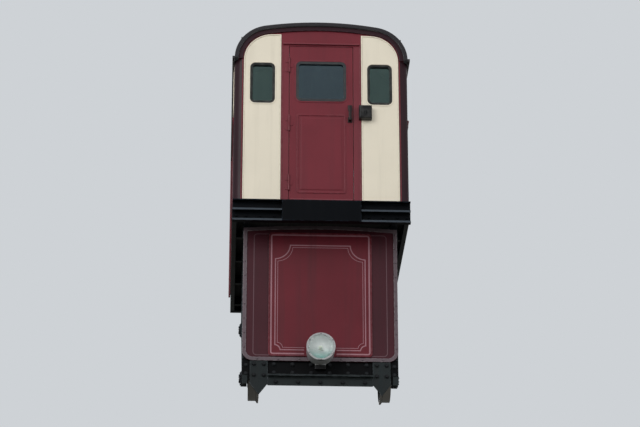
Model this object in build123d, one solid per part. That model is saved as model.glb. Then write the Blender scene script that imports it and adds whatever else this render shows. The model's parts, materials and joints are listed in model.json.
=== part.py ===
"""Funicular car for a straight double-track incline: a level cabin on a wedge-shaped steel underframe.

Frame, in millimetres: +X to the right as seen from the downhill end, +Y uphill and level, +Z up.
The origin is on the rail tops, midway between the rails, where the lower wheels touch them.
"""

from build123d import *
import math
import os

# Incline and wheels. Heights "above the rails" are square to the rails.
SLOPE_DEGREES = 35.35  # the track rises 1 in 1.41
GAUGE_BACK_TO_BACK = 1360
WHEEL_RADIUS = 250
WHEELBASE = 2146  # along the slope
TYRE_WIDTH = 125
TYRE_DEPTH = 38
FLANGE_DEPTH = 27
FLANGE_THICKNESS = 32
FLANGE_BEVEL = 6
WHEEL_WEB = 26
WHEEL_FILLET = 12
HUB_RADIUS = 98
HUB_LENGTH = 140
AXLE_RADIUS = 62
JOURNAL_RADIUS = 45
JOURNAL_CLEARANCE = 0.1
JOURNAL_END_GAP = 6  # journal's end to the axlebox's outer face
SHOULDER_GAP = 6  # axle shoulder to axlebox

# Sloping sole bars, parallel to the rails
SOLE_ABOVE_RAIL = 320
SOLE_DEPTH = 200
SOLE_FLANGE = 60
SOLE_WEB_THICKNESS = 10
SOLE_FLANGE_THICKNESS = 12
WHEEL_TO_SOLE = 15  # wheel's outer face to the sole bar

# Axleboxes and their guides
AXLEBOX_LENGTH = 150
AXLEBOX_BELOW_AXLE = 72
AXLEBOX_WIDTH = 68
AXLEBOX_CAP_RADIUS = 54
AXLEBOX_CAP_DEPTH = 16
GUIDE_LENGTH = 28
GUIDE_DROP = 125
GUIDE_CLEARANCE = 3

# Lower front: headstock, apron panel, guard irons
PANEL_AHEAD = 525  # panel face ahead of the lower wheels' contact
PANEL_THICKNESS = 20
PANEL_BOTTOM = 290
PANEL_TOP_CORNER = 1902
PANEL_TOP_RISE = 36
PANEL_CORNER_RADIUS = 120
RIM_WIDTH = 42
RIM_PROUD = 10
BOARD_WIDTH = 1176
BOARD_MARGIN = 12  # board to rim, top and bottom
BOARD_PROUD = 8
BOARD_CORNER_RADIUS = 40
HEADSTOCK_DEPTH = 60
HEADSTOCK_BOTTOM = 78
HEADSTOCK_TOP = 322
IRON_INSET = 90  # frame's side to the iron's outer edge
IRON_WIDTH = 200
IRON_SHOULDER = 20
IRON_TIP = -110
GUARD_BAR_TOP = 122
GUARD_BAR_HEIGHT = 120
GUARD_BAR_LEDGE = 40
POST_WIDTH = 60

# Headlamp
LAMP_RADIUS = 157
LAMP_HEIGHT = 398
LAMP_BARREL = 200
LAMP_RING = 22
LAMP_RING_PROUD = 6
LAMP_BACK_ROUND = 16
LENS_RADIUS = 142
LENS_DOME = 48
LENS_SEAT = 8
LAMP_FOOT_WIDTH = 120
LAMP_FOOT_DEPTH = 24
LAMP_FOOT_BOTTOM = 190

# Level platform under the cabin
PLATFORM_BOTTOM = 1940
PLATFORM_DEPTH = 140
DECK_THICKNESS = 40
LONGITUDINAL_WIDTH = 60
SIDE_RAIL_WIDTH = 50
OUTRIGGER_RISE = 40
BEARER_WIDTH = 60
BEARER_COUNT = 5
LEDGE = 130
SILL_DEPTH = 70
SILL_HEIGHT = 150
SILL_METAL = 12
SILL_DROP = 100  # downhill sill's foot below the platform's, for a wide face over the apron
TREAD_THICKNESS = 14
TREAD_STEP_WIDTH = 900

# Cabin
CABIN_OVERHANG = 250  # cabin face ahead of the panel face
CABIN_LENGTH = 2950
SIDE_OVERHANG = 135  # cabin's side beyond the frame's
WALL = 50
CORNER_RADIUS = 110
EAVES_BELOW_DOORWAY = 180  # doorway's top to the eaves
SHOULDER_RADIUS = 430
CROWN_RADIUS = 4000
ROOF_THICKNESS = 45
ROOF_OVERHANG = 45
RIM_BAND = 52
RIM_BAND_THICKNESS = 20
GUTTER_WIDTH = 26
GUTTER_HEIGHT = 30
GUTTER_METAL = 4
WAIST_BELOW_WINDOW = 140
WAIST_PROUD = 10
WAIST_RAIL = 60

# Doors. The surround is the maroon frame round each doorway.
DOOR_POST_WIDTH = 89
DOORWAY_WIDTH = 752
DOORWAY_HEIGHT = 2010
DOOR_GAP = 6
DOOR_BOTTOM_GAP = 10
DOOR_THICKNESS = 40
DOOR_STILE = 84.5  # doorway's side to the window's
DOOR_WINDOW_HEIGHT = 512
DOOR_WINDOW_HEAD = 204  # doorway's top to the window's
HINGE_OFFSET = 12  # hinge pin outside the door's face
HINGE_RADIUS = 9
KNUCKLE_LENGTH = 60
KNUCKLE_GAP = 0.3
HINGE_FROM_END = 250  # doorway's top or bottom to the nearest hinge
HINGE_STRAP = 46
HINGE_STRAP_THICKNESS = 5
HINGE_NECK = 4
HANDLE_SIZE = (26, 34, 190)
HANDLE_REACH = 50
HANDLE_INSET = 70
HANDLE_HEIGHT = 1040
LOCK_OFFSET = 47  # door post's outer edge to the case's middle
LOCK_HEIGHT = 1138
LOCK_SIZE = (150, 84, 168)
LOCK_BEVEL = 14

# Windows
END_WINDOW_MARGIN = 75  # window to the end panel's edges
WINDOW_HEIGHT = 521
WINDOW_HEAD = 49  # eaves to the window's top
SIDE_WINDOW_COUNT = 3
SIDE_WINDOW_MARGIN = 125  # corner post to the first window
SIDE_PILLAR = 160  # between side windows
WINDOW_CORNER = 62
GASKET_WIDTH = 30
GASKET_PROUD = 5
GLASS_THICKNESS = 6

# Inside the cabin
BENCH_DEPTH = 400
BENCH_HEIGHT = 440
BENCH_BOARD = 40
BENCH_END_GAP = 110
BENCH_LEG = 50
BENCH_LEG_SETBACK = 30
BENCH_LEG_COUNT = 4
BACK_BOTTOM = 560
BACK_HEIGHT = 420
BACK_THICKNESS = 25
POLE_RADIUS = 16
POLE_TO_BENCH = 25
POLE_PITCH = 1100
LIGHT_RADIUS = 120
LIGHT_DEPTH = 40
LIGHT_PITCH = 1400

# Haulage and brakes. Distances "along" are along the rails from the lower wheels.
DRAW_BEAM_GAP = 27  # upper flanges to the draw beam
DRAW_BEAM_WIDTH = 80
DRAW_BEAM_DEPTH = 120
CLEVIS_HEIGHT = 90
CLEVIS_PLATE = 22
CLEVIS_GAP = 50
CLEVIS_BORE = 22
ROPE_PITCH = 300  # between the main and the safety rope
ROPES = (  # side, clevis's reach
    (1, 110),
    (-1, 170),
)
TIE_FROM_MIDDLE = 480  # each tie's middle from midway between the axles
TIE_WIDTH = 70
TIE_DEPTH = 140
BRAKE_SHOE_LENGTH = 420
BRAKE_SHOE_LEAD = 40
BRAKE_SHOE_WIDTH = 90
BRAKE_SHOE_DEPTH = 70
BRAKE_SHOE_ABOVE_RAIL = 15
BRAKE_ROD_RADIUS = 30
BRAKE_BRACKET_DEPTH = 60
BRAKE_BRACKET_MARGIN = 12
POST_PITCH = 700  # from each upright post's front to the next one's
POST_COUNT = 2  # middle posts on each side
BRACE_DEPTH = 70
BRACE_WIDTH = 24
BRACE_FOOT_GAP = 40
BRACE_HEAD_GAP = 20
FRONT_RAIL_DEPTH = 120

# What follows from the sizes above
SLOPE = math.radians(SLOPE_DEGREES)
SLOPE_TURN = Rot(SLOPE_DEGREES, 0, 0)
SOLE_INNER = GAUGE_BACK_TO_BACK / 2 + TYRE_WIDTH + WHEEL_TO_SOLE
HALF_FRAME = SOLE_INNER + SOLE_FLANGE
SOLE_TOP = SOLE_ABOVE_RAIL + SOLE_DEPTH
PANEL_FACE = -PANEL_AHEAD
PANEL_BACK = PANEL_FACE + PANEL_THICKNESS
HEADSTOCK_BACK = PANEL_BACK + HEADSTOCK_DEPTH
PLATFORM_TOP = PLATFORM_BOTTOM + PLATFORM_DEPTH
FLOOR = PLATFORM_TOP + DECK_THICKNESS
CABIN_FRONT = PANEL_FACE - CABIN_OVERHANG
CABIN_BACK = CABIN_FRONT + CABIN_LENGTH
CABIN_MID = (CABIN_FRONT + CABIN_BACK) / 2
HALF_CABIN = HALF_FRAME + SIDE_OVERHANG
DOORWAY_TOP = FLOOR + DOORWAY_HEIGHT
EAVES = DOORWAY_TOP - EAVES_BELOW_DOORWAY
SILL_FRONT = CABIN_FRONT - LEDGE
SILL_BACK = SILL_FRONT + SILL_DEPTH
HALF_DOORWAY = DOORWAY_WIDTH / 2
HALF_SURROUND = HALF_DOORWAY + DOOR_POST_WIDTH
FLAT_END = HALF_CABIN - CORNER_RADIUS
END_WINDOW_CENTRE = (HALF_SURROUND + FLAT_END) / 2
END_WINDOW_WIDTH = FLAT_END - HALF_SURROUND - 2 * END_WINDOW_MARGIN
WINDOW_BOTTOM = EAVES - WINDOW_HEAD - WINDOW_HEIGHT
DOOR_WINDOW_BOTTOM = DOORWAY_TOP - DOOR_WINDOW_HEAD - DOOR_WINDOW_HEIGHT
DOOR_WINDOW_WIDTH = DOORWAY_WIDTH - 2 * DOOR_STILE
WAIST = WINDOW_BOTTOM - WAIST_BELOW_WINDOW
SIDE_FRONT = CABIN_FRONT + CORNER_RADIUS
SIDE_BACK = CABIN_BACK - CORNER_RADIUS
HINGE_X = -HALF_DOORWAY + DOOR_GAP / 2
HINGE_Y = CABIN_FRONT - HINGE_OFFSET
HINGE_HEIGHTS = (HINGE_FROM_END, DOORWAY_HEIGHT / 2, DOORWAY_HEIGHT - HINGE_FROM_END)
POLE_OFFSET = HALF_CABIN - WALL - BENCH_DEPTH - POLE_TO_BENCH
DRAW_BEAM_ALONG = WHEELBASE + WHEEL_RADIUS + FLANGE_DEPTH + DRAW_BEAM_GAP
MID_WHEELBASE = WHEELBASE / 2
LONG = 8000  # longer than the car, for cutting tools
SIDES = (-1, 1)


def block(x0, x1, y0, y1, z0, z1):
    """A box between two corners."""
    middle = Pos((x0 + x1) / 2, (y0 + y1) / 2, (z0 + z1) / 2)
    return middle * Box(abs(x1 - x0), abs(y1 - y0), abs(z1 - z0))


def both_sides(shape):
    """A right-hand piece and its mirror image on the left."""
    return [shape, mirror(shape, about=Plane.YZ)]


def turned_to_back(shape):
    """The same piece at the uphill end, turned about the cabin's upright centre line."""
    return Pos(0, 2 * CABIN_MID, 0) * Rot(0, 0, 180) * shape


def both_ends(shapes):
    """Downhill pieces and the same pieces at the uphill end."""
    return shapes + [turned_to_back(shape) for shape in shapes]


def along_y(face, y0, y1):
    """A face drawn in X and Z, as a solid from y0 to y1."""
    return extrude(Plane.XZ.offset(-y1) * face, amount=y1 - y0)


def across_x(face, x0, x1):
    """A face drawn in Y and Z, as a solid from x0 to x1."""
    return extrude(Plane.YZ.offset(x0) * face, amount=x1 - x0)


def polygon(points):
    """A flat face with straight edges through the points."""
    return make_face(Polyline(*points, close=True))


def rounded_plate(width, height, radius, x, z, y0, y1):
    """An upright plate with rounded corners, centred on x, standing at height z."""
    face = Pos(x, z + height / 2) * RectangleRounded(width, height, radius)
    return along_y(face, y0, y1)


def arch_face(inset, bottom):
    """The cabin's end outline, moved inwards by inset, from the height bottom up to the roof."""
    half = HALF_CABIN - inset
    shoulder = SHOULDER_RADIUS - inset
    crown = CROWN_RADIUS - inset
    centre_x = HALF_CABIN - SHOULDER_RADIUS
    lean = math.asin(centre_x / (CROWN_RADIUS - SHOULDER_RADIUS))
    centre_z = EAVES - (CROWN_RADIUS - SHOULDER_RADIUS) * math.cos(lean)
    join = (crown * math.sin(lean), centre_z + crown * math.cos(lean))
    top = (0, centre_z + crown)
    middle = (math.pi / 2 - lean) / 2
    bend = (centre_x + shoulder * math.cos(middle), EAVES + shoulder * math.sin(middle))
    outline = [
        ThreePointArc((half, EAVES), bend, join),
        ThreePointArc(join, top, (-join[0], join[1])),
        ThreePointArc((-join[0], join[1]), (-bend[0], bend[1]), (-half, EAVES)),
    ]
    if bottom < EAVES:
        outline += [Polyline((-half, EAVES), (-half, bottom), (half, bottom), (half, EAVES))]
    else:
        outline += [Line((-half, EAVES), (half, EAVES))]
    return make_face(outline)


def wheel():
    """One flanged wheel on the right, turned about X, its back face at half the back-to-back distance."""
    back = GAUGE_BACK_TO_BACK / 2
    face = back + TYRE_WIDTH
    centre = back + TYRE_WIDTH / 2
    web0 = centre - WHEEL_WEB / 2
    web1 = centre + WHEEL_WEB / 2
    hub0 = centre - HUB_LENGTH / 2
    hub1 = centre + HUB_LENGTH / 2
    flange = WHEEL_RADIUS + FLANGE_DEPTH
    inside = WHEEL_RADIUS - TYRE_DEPTH
    outline = [
        (hub0, AXLE_RADIUS),
        (hub1, AXLE_RADIUS),
        (hub1, HUB_RADIUS),
        (web1, HUB_RADIUS + WHEEL_FILLET),
        (web1, inside - WHEEL_FILLET),
        (face, inside),
        (face, WHEEL_RADIUS),
        (back + FLANGE_THICKNESS + FLANGE_BEVEL, WHEEL_RADIUS),
        (back + FLANGE_THICKNESS - FLANGE_BEVEL, flange - FLANGE_BEVEL),
        (back + FLANGE_THICKNESS / 2, flange),
        (back + FLANGE_BEVEL, flange - FLANGE_BEVEL),
        (back, inside),
        (web0, inside - WHEEL_FILLET),
        (web0, HUB_RADIUS + WHEEL_FILLET),
        (hub0, HUB_RADIUS),
    ]
    return revolve(polygon(outline), Axis.X)


def axle():
    """The axle with its two journals."""
    shoulder = SOLE_INNER - SHOULDER_GAP
    body = Rot(0, 90, 0) * Cylinder(AXLE_RADIUS, 2 * shoulder)
    reach = SOLE_INNER + AXLEBOX_WIDTH - JOURNAL_END_GAP
    return body + Rot(0, 90, 0) * Cylinder(JOURNAL_RADIUS, 2 * reach)


def on_axle(shapes, along):
    """Moves pieces modelled about the X axis to an axle this far up the slope."""
    centre = SLOPE_TURN * Pos(0, along, WHEEL_RADIUS)
    return [centre * shape for shape in shapes]


def axle_places():
    """How far up the slope each axle is."""
    return (0, WHEELBASE)


def sole_bars():
    """Two channels parallel to the rails, cut upright at the headstock and level under the platform."""
    x0, x1 = SOLE_INNER, HALF_FRAME
    bottom, top = SOLE_ABOVE_RAIL, SOLE_TOP
    web = block(x0, x0 + SOLE_WEB_THICKNESS, -LONG, LONG, bottom, top)
    low = block(x0, x1, -LONG, LONG, bottom, bottom + SOLE_FLANGE_THICKNESS)
    high = block(x0, x1, -LONG, LONG, top - SOLE_FLANGE_THICKNESS, top)
    room = block(0, LONG, HEADSTOCK_BACK, LONG, -LONG, PLATFORM_BOTTOM)
    return both_sides((SLOPE_TURN * (web + low + high)) & room)


def above_sole_bars():
    """Everything above the sole bars' top faces, as a tool for cutting posts."""
    return SLOPE_TURN * block(-LONG, LONG, -LONG, LONG, SOLE_TOP, SOLE_TOP + LONG)


def post_places():
    """The fore edge of each middle post along Y."""
    first = HEADSTOCK_BACK - POST_WIDTH
    return [first + POST_PITCH * number for number in range(1, POST_COUNT + 1)]


def wedge_posts():
    """Upright posts between the sole bars and the platform."""
    x0 = SOLE_INNER
    front = block(x0, HALF_FRAME, PANEL_BACK, HEADSTOCK_BACK, HEADSTOCK_TOP, PLATFORM_BOTTOM)
    posts = both_sides(front)
    for place in post_places():
        post = block(x0, HALF_FRAME, place, place + POST_WIDTH, 0, PLATFORM_BOTTOM)
        posts += both_sides(post & above_sole_bars())
    return posts


def wedge_braces():
    """Flat diagonals from the foot of each post to the head of the next."""
    edges = [HEADSTOCK_BACK] + [place + POST_WIDTH for place in post_places()]
    bars = []
    for start, end in zip(edges, post_places()):
        sole = start * math.tan(SLOPE) + SOLE_TOP / math.cos(SLOPE)
        foot = sole + BRACE_FOOT_GAP
        head = PLATFORM_BOTTOM - BRACE_DEPTH - BRACE_HEAD_GAP
        face = polygon([(start, foot), (start, foot + BRACE_DEPTH), (end, head + BRACE_DEPTH), (end, head)])
        centre = (SOLE_INNER + HALF_FRAME) / 2
        bars += both_sides(across_x(face, centre - BRACE_WIDTH / 2, centre + BRACE_WIDTH / 2))
    return bars


def cross_ties():
    """Cross members: rails behind the apron panel, and ties between the sole bars."""
    x = SOLE_INNER
    ties = []
    middle = (PANEL_BOTTOM + PLATFORM_BOTTOM) / 2
    for bottom in (PLATFORM_BOTTOM - FRONT_RAIL_DEPTH, middle - FRONT_RAIL_DEPTH / 2):
        ties.append(block(-x, x, PANEL_BACK, HEADSTOCK_BACK, bottom, bottom + FRONT_RAIL_DEPTH))
    low = SOLE_ABOVE_RAIL + (SOLE_DEPTH - TIE_DEPTH) / 2
    for side in SIDES:
        along = MID_WHEELBASE + side * TIE_FROM_MIDDLE - TIE_WIDTH / 2
        ties.append(SLOPE_TURN * block(-x, x, along, along + TIE_WIDTH, low, low + TIE_DEPTH))
    return ties


def lower_headstock():
    """The box beam across the foot of the wedge."""
    return [block(-HALF_FRAME, HALF_FRAME, PANEL_BACK, HEADSTOCK_BACK, HEADSTOCK_BOTTOM, HEADSTOCK_TOP)]


def axleboxes():
    """One bored axlebox under each end of each axle, its top on the sole bar."""
    x0 = SOLE_INNER
    half = AXLEBOX_LENGTH / 2
    top = SOLE_ABOVE_RAIL - WHEEL_RADIUS
    body = block(x0, x0 + AXLEBOX_WIDTH, -half, half, -AXLEBOX_BELOW_AXLE, top)
    cap_place = Pos(x0 + AXLEBOX_WIDTH + AXLEBOX_CAP_DEPTH / 2, 0, 0)
    cap = cap_place * Rot(0, 90, 0) * Cylinder(AXLEBOX_CAP_RADIUS, AXLEBOX_CAP_DEPTH)
    bore_length = AXLEBOX_WIDTH
    bore = Pos(x0 + bore_length / 2, 0, 0) * Rot(0, 90, 0)
    bore = bore * Cylinder(JOURNAL_RADIUS + JOURNAL_CLEARANCE, bore_length)
    boxes = []
    for along in axle_places():
        boxes += on_axle(both_sides(body + cap - bore), along)
    return boxes


def axlebox_guides():
    """A pair of guides hanging from the sole bar beside each axlebox."""
    x0, x1 = SOLE_INNER, HALF_FRAME
    near = AXLEBOX_LENGTH / 2 + GUIDE_CLEARANCE
    guides = []
    for along in axle_places():
        for side in SIDES:
            edge = along + side * near
            far = edge + side * GUIDE_LENGTH
            low = SOLE_ABOVE_RAIL - GUIDE_DROP
            guide = block(x0, x1, min(edge, far), max(edge, far), low, SOLE_ABOVE_RAIL)
            guides += both_sides(SLOPE_TURN * guide)
    return guides


def track_brakes():
    """A brake shoe over each rail, on a rod from a bracket on the sole bar."""
    centre = GAUGE_BACK_TO_BACK / 2 + TYRE_WIDTH / 2
    half = BRAKE_SHOE_LENGTH / 2
    low = BRAKE_SHOE_ABOVE_RAIL
    shoe_top = low + BRAKE_SHOE_DEPTH
    shoe = polygon([
        (MID_WHEELBASE - half + BRAKE_SHOE_LEAD, low),
        (MID_WHEELBASE + half - BRAKE_SHOE_LEAD, low),
        (MID_WHEELBASE + half, shoe_top),
        (MID_WHEELBASE - half, shoe_top),
    ])
    brake = across_x(shoe, centre - BRAKE_SHOE_WIDTH / 2, centre + BRAKE_SHOE_WIDTH / 2)
    bracket_low = SOLE_ABOVE_RAIL + SOLE_DEPTH / 2 - BRAKE_BRACKET_DEPTH / 2
    rod_height = bracket_low - shoe_top
    rod_place = Pos(centre, MID_WHEELBASE, shoe_top + rod_height / 2)
    brake += rod_place * Cylinder(BRAKE_ROD_RADIUS, rod_height)
    reach = BRAKE_ROD_RADIUS + BRAKE_BRACKET_MARGIN
    brake += block(
        centre - reach, SOLE_INNER, MID_WHEELBASE - reach, MID_WHEELBASE + reach,
        bracket_low, bracket_low + BRAKE_BRACKET_DEPTH,
    )
    return both_sides(SLOPE_TURN * brake)


def draw_beam():
    """The cross beam under the upper end of the sole bars."""
    top = SOLE_ABOVE_RAIL
    beam = block(
        -HALF_FRAME, HALF_FRAME, DRAW_BEAM_ALONG, DRAW_BEAM_ALONG + DRAW_BEAM_WIDTH,
        top - DRAW_BEAM_DEPTH, top,
    )
    return [SLOPE_TURN * beam]


def rope_clevises():
    """Two clevises that take the main and the safety rope's sockets, one solid each."""
    start = DRAW_BEAM_ALONG + DRAW_BEAM_WIDTH
    middle = SOLE_ABOVE_RAIL - DRAW_BEAM_DEPTH / 2
    half = CLEVIS_HEIGHT / 2
    pieces = []
    for side, reach in ROPES:
        x = side * ROPE_PITCH / 2
        outer = CLEVIS_GAP / 2 + CLEVIS_PLATE
        clevis = block(x - outer, x + outer, start, start + reach, middle - half, middle + half)
        clevis -= block(
            x - CLEVIS_GAP / 2, x + CLEVIS_GAP / 2, start + CLEVIS_PLATE, start + 2 * reach,
            middle - CLEVIS_HEIGHT, middle + CLEVIS_HEIGHT,
        )
        eye = Pos(x, start + reach - half, middle) * Rot(0, 90, 0)
        clevis -= eye * Cylinder(CLEVIS_BORE, 4 * outer)
        pieces.append(SLOPE_TURN * clevis)
    return pieces


def panel_face(inset):
    """The apron panel's outline moved inwards: a low arched top and round bottom corners."""
    half = HALF_FRAME - inset
    bottom = PANEL_BOTTOM + inset
    corner = PANEL_TOP_CORNER - inset
    radius = PANEL_CORNER_RADIUS - inset
    turn = radius * (1 - math.sqrt(0.5))
    return make_face([
        Line((-half + radius, bottom), (half - radius, bottom)),
        ThreePointArc((half - radius, bottom), (half - turn, bottom + turn), (half, bottom + radius)),
        Line((half, bottom + radius), (half, corner)),
        ThreePointArc((half, corner), (0, corner + PANEL_TOP_RISE), (-half, corner)),
        Line((-half, corner), (-half, bottom + radius)),
        ThreePointArc((-half, bottom + radius), (-half + turn, bottom + turn), (-half + radius, bottom)),
    ])


def lamp_hole():
    """A round tool where the headlamp stands."""
    return Pos(0, PANEL_FACE, LAMP_HEIGHT) * Rot(90, 0, 0) * Cylinder(LAMP_RADIUS, 4 * BOARD_PROUD)


def front_panel():
    """The apron panel that closes the wedge's downhill end."""
    return [along_y(panel_face(0), PANEL_FACE, PANEL_BACK)]


def panel_rim():
    """The metal edge strip round the apron panel, open where the headlamp stands."""
    ring = along_y(panel_face(0) - panel_face(RIM_WIDTH), PANEL_FACE - RIM_PROUD, PANEL_FACE)
    return [ring - lamp_hole()]


def sign_board():
    """The blank raised board on the apron panel."""
    bottom = PANEL_BOTTOM + RIM_WIDTH + BOARD_MARGIN
    height = PANEL_TOP_CORNER - RIM_WIDTH - BOARD_MARGIN - bottom
    board = rounded_plate(
        BOARD_WIDTH, height, BOARD_CORNER_RADIUS, 0, bottom, PANEL_FACE - BOARD_PROUD, PANEL_FACE,
    )
    return [board - lamp_hole()]


def turned_lamp(outline):
    """Turns an outline of (radius, distance ahead of the panel) about the lamp's axis."""
    face = polygon([(radius, -ahead) for radius, ahead in outline])
    return Pos(0, PANEL_FACE, LAMP_HEIGHT) * revolve(face, Axis.Y)


def headlamp_shell():
    """The lamp's drum, with a rim ring and a foot on the headstock."""
    ring0 = LAMP_BARREL - LAMP_RING
    drum = turned_lamp([
        (0, 0),
        (LAMP_RADIUS - LAMP_BACK_ROUND, 0),
        (LAMP_RADIUS, LAMP_BACK_ROUND),
        (LAMP_RADIUS, ring0),
        (LAMP_RADIUS + LAMP_RING_PROUD, ring0),
        (LAMP_RADIUS + LAMP_RING_PROUD, LAMP_BARREL),
        (LENS_RADIUS, LAMP_BARREL),
        (LENS_RADIUS, LAMP_BARREL - LENS_SEAT),
        (0, LAMP_BARREL - LENS_SEAT),
    ])
    half = LAMP_FOOT_WIDTH / 2
    foot_front = PANEL_FACE - LAMP_FOOT_DEPTH
    foot = block(-half, half, foot_front, PANEL_BACK, LAMP_FOOT_BOTTOM, PANEL_BOTTOM)
    return [drum + foot]


def headlamp_lens():
    """The lamp's domed glass, seated in the ring."""
    seat = LAMP_BARREL - LENS_SEAT
    front = LAMP_BARREL + LENS_DOME
    bend = (LENS_RADIUS**2 + LENS_DOME**2) / (2 * LENS_DOME)
    middle = math.asin(LENS_RADIUS / bend) / 2
    halfway = (bend * math.sin(middle), -(front - bend + bend * math.cos(middle)))
    face = make_face([
        Line((0, -seat), (LENS_RADIUS, -seat)),
        Line((LENS_RADIUS, -seat), (LENS_RADIUS, -LAMP_BARREL)),
        ThreePointArc((LENS_RADIUS, -LAMP_BARREL), halfway, (0, -front)),
        Line((0, -front), (0, -seat)),
    ])
    return [Pos(0, PANEL_FACE, LAMP_HEIGHT) * revolve(face, Axis.Y)]


def guard_irons():
    """Pointed plates that hang from the headstock ahead of each lower wheel."""
    x1 = HALF_FRAME - IRON_INSET
    x0 = x1 - IRON_WIDTH
    face = polygon([
        (x0, PANEL_BOTTOM),
        (x0, IRON_SHOULDER),
        ((x0 + x1) / 2, IRON_TIP),
        (x1, IRON_SHOULDER),
        (x1, PANEL_BOTTOM),
    ])
    return both_sides(along_y(face, PANEL_FACE, PANEL_BACK))


def guard_bar():
    """The angle bar between the guard irons."""
    half = HALF_FRAME - IRON_INSET - IRON_WIDTH
    bottom = GUARD_BAR_TOP - GUARD_BAR_HEIGHT
    upright = block(-half, half, PANEL_FACE, PANEL_BACK, bottom, GUARD_BAR_TOP)
    front = PANEL_FACE - GUARD_BAR_LEDGE
    ledge = block(-half, half, front, PANEL_FACE, GUARD_BAR_TOP - PANEL_THICKNESS, GUARD_BAR_TOP)
    return [upright + ledge]


def platform_longitudinals():
    """The two level beams over the wedge's posts."""
    x0 = HALF_FRAME - LONGITUDINAL_WIDTH
    beam = block(x0, HALF_FRAME, SILL_BACK, 2 * CABIN_MID - SILL_BACK, PLATFORM_BOTTOM, PLATFORM_TOP)
    return both_sides(beam)


def bearer_places():
    """The fore edge of each cross bearer."""
    first = SILL_BACK + LEDGE - SILL_DEPTH
    last = 2 * CABIN_MID - first - BEARER_WIDTH
    step = (last - first) / (BEARER_COUNT - 1)
    return [first + step * number for number in range(BEARER_COUNT)]


def cross_bearers():
    """Cross bearers between the longitudinals, and outriggers from them to the side rails."""
    inner = HALF_FRAME - LONGITUDINAL_WIDTH
    rail = HALF_CABIN - SIDE_RAIL_WIDTH
    pieces = []
    for place in bearer_places():
        end = place + BEARER_WIDTH
        pieces.append(block(-inner, inner, place, end, PLATFORM_BOTTOM, PLATFORM_TOP))
        low = PLATFORM_BOTTOM + OUTRIGGER_RISE
        pieces += both_sides(block(HALF_FRAME, rail, place, end, low, PLATFORM_TOP))
    return pieces


def side_rails():
    """Channels under the cabin's side walls, hollow side outwards."""
    x0 = HALF_CABIN - SIDE_RAIL_WIDTH
    y0, y1 = SILL_BACK, 2 * CABIN_MID - SILL_BACK
    rail = block(x0, HALF_CABIN, y0, y1, PLATFORM_BOTTOM, PLATFORM_TOP)
    rail -= block(
        x0 + SILL_METAL, HALF_CABIN, y0, y1,
        PLATFORM_BOTTOM + SILL_METAL, PLATFORM_TOP - SILL_METAL,
    )
    return both_sides(rail)


def end_sill(drop):
    """A downhill sill with its foot lower than the platform's by drop, under the tread and the step plate."""
    foot = PLATFORM_BOTTOM - drop
    tread = PLATFORM_BOTTOM + SILL_HEIGHT
    web_face = SILL_BACK - SILL_METAL
    sill = block(-HALF_CABIN, HALF_CABIN, web_face, SILL_BACK, foot, tread)
    for level in (foot, foot + SILL_HEIGHT - SILL_METAL):
        sill += block(-HALF_CABIN, HALF_CABIN, SILL_FRONT, web_face, level, level + SILL_METAL)
    half = TREAD_STEP_WIDTH / 2
    sill += block(-half, half, SILL_FRONT - SILL_METAL, SILL_BACK, foot, tread)
    sill += block(-HALF_CABIN, HALF_CABIN, SILL_FRONT, CABIN_FRONT, tread, tread + TREAD_THICKNESS)
    return sill


def end_sills():
    """The sill across each end; the uphill one stays clear of the ropes below it."""
    return [end_sill(SILL_DROP), turned_to_back(end_sill(0))]


def floor_deck():
    """The boarded floor under the whole cabin."""
    return [block(-HALF_CABIN, HALF_CABIN, CABIN_FRONT, CABIN_BACK, PLATFORM_TOP, FLOOR)]


def window_hole(centre, width, bottom, height, y0, y1, shrink=0):
    """A rounded window-shaped solid in an end wall, made smaller all round by shrink."""
    return rounded_plate(
        width - 2 * shrink, height - 2 * shrink, WINDOW_CORNER - shrink,
        centre, bottom + shrink, y0, y1,
    )


def side_window_width():
    """What the margins and pillars leave for each side window."""
    taken = 2 * SIDE_WINDOW_MARGIN + (SIDE_WINDOW_COUNT - 1) * SIDE_PILLAR
    return (SIDE_BACK - SIDE_FRONT - taken) / SIDE_WINDOW_COUNT


def side_window_places():
    """The centre of each side window along Y."""
    pitch = side_window_width() + SIDE_PILLAR
    middle = (SIDE_WINDOW_COUNT - 1) / 2
    return [CABIN_MID + (number - middle) * pitch for number in range(SIDE_WINDOW_COUNT)]


def side_window_hole(place, x0, x1, shrink=0):
    """A rounded window-shaped solid in the right-hand side wall."""
    width = side_window_width() - 2 * shrink
    height = WINDOW_HEIGHT - 2 * shrink
    centre = WINDOW_BOTTOM + WINDOW_HEIGHT / 2
    face = Pos(place, centre) * RectangleRounded(width, height, WINDOW_CORNER - shrink)
    return across_x(face, x0, x1)


def side_lower_panels():
    """The side walls below the waist, with a waist rail along the top."""
    x0 = HALF_CABIN - WALL
    y0, y1 = SIDE_FRONT, SIDE_BACK
    panel = block(x0, HALF_CABIN, y0, y1, FLOOR, WAIST)
    panel += block(HALF_CABIN, HALF_CABIN + WAIST_PROUD, y0, y1, WAIST - WAIST_RAIL, WAIST)
    return both_sides(panel)


def side_window_panels():
    """The side walls above the waist, with the windows cut."""
    x0 = HALF_CABIN - WALL
    y0, y1 = SIDE_FRONT, SIDE_BACK
    panel = block(x0, HALF_CABIN, y0, y1, WAIST, EAVES)
    for place in side_window_places():
        panel -= side_window_hole(place, x0 - WALL, HALF_CABIN + WALL)
    return both_sides(panel)


def corner_posts():
    """Four upright corners, round in plan."""
    height = EAVES - FLOOR
    post = Cylinder(CORNER_RADIUS, height) - Cylinder(CORNER_RADIUS - WALL, height)
    post = Pos(FLAT_END, SIDE_FRONT, FLOOR + height / 2) * post
    post &= block(FLAT_END, HALF_CABIN, CABIN_FRONT, SIDE_FRONT, FLOOR, EAVES)
    return both_ends(both_sides(post))


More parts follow.
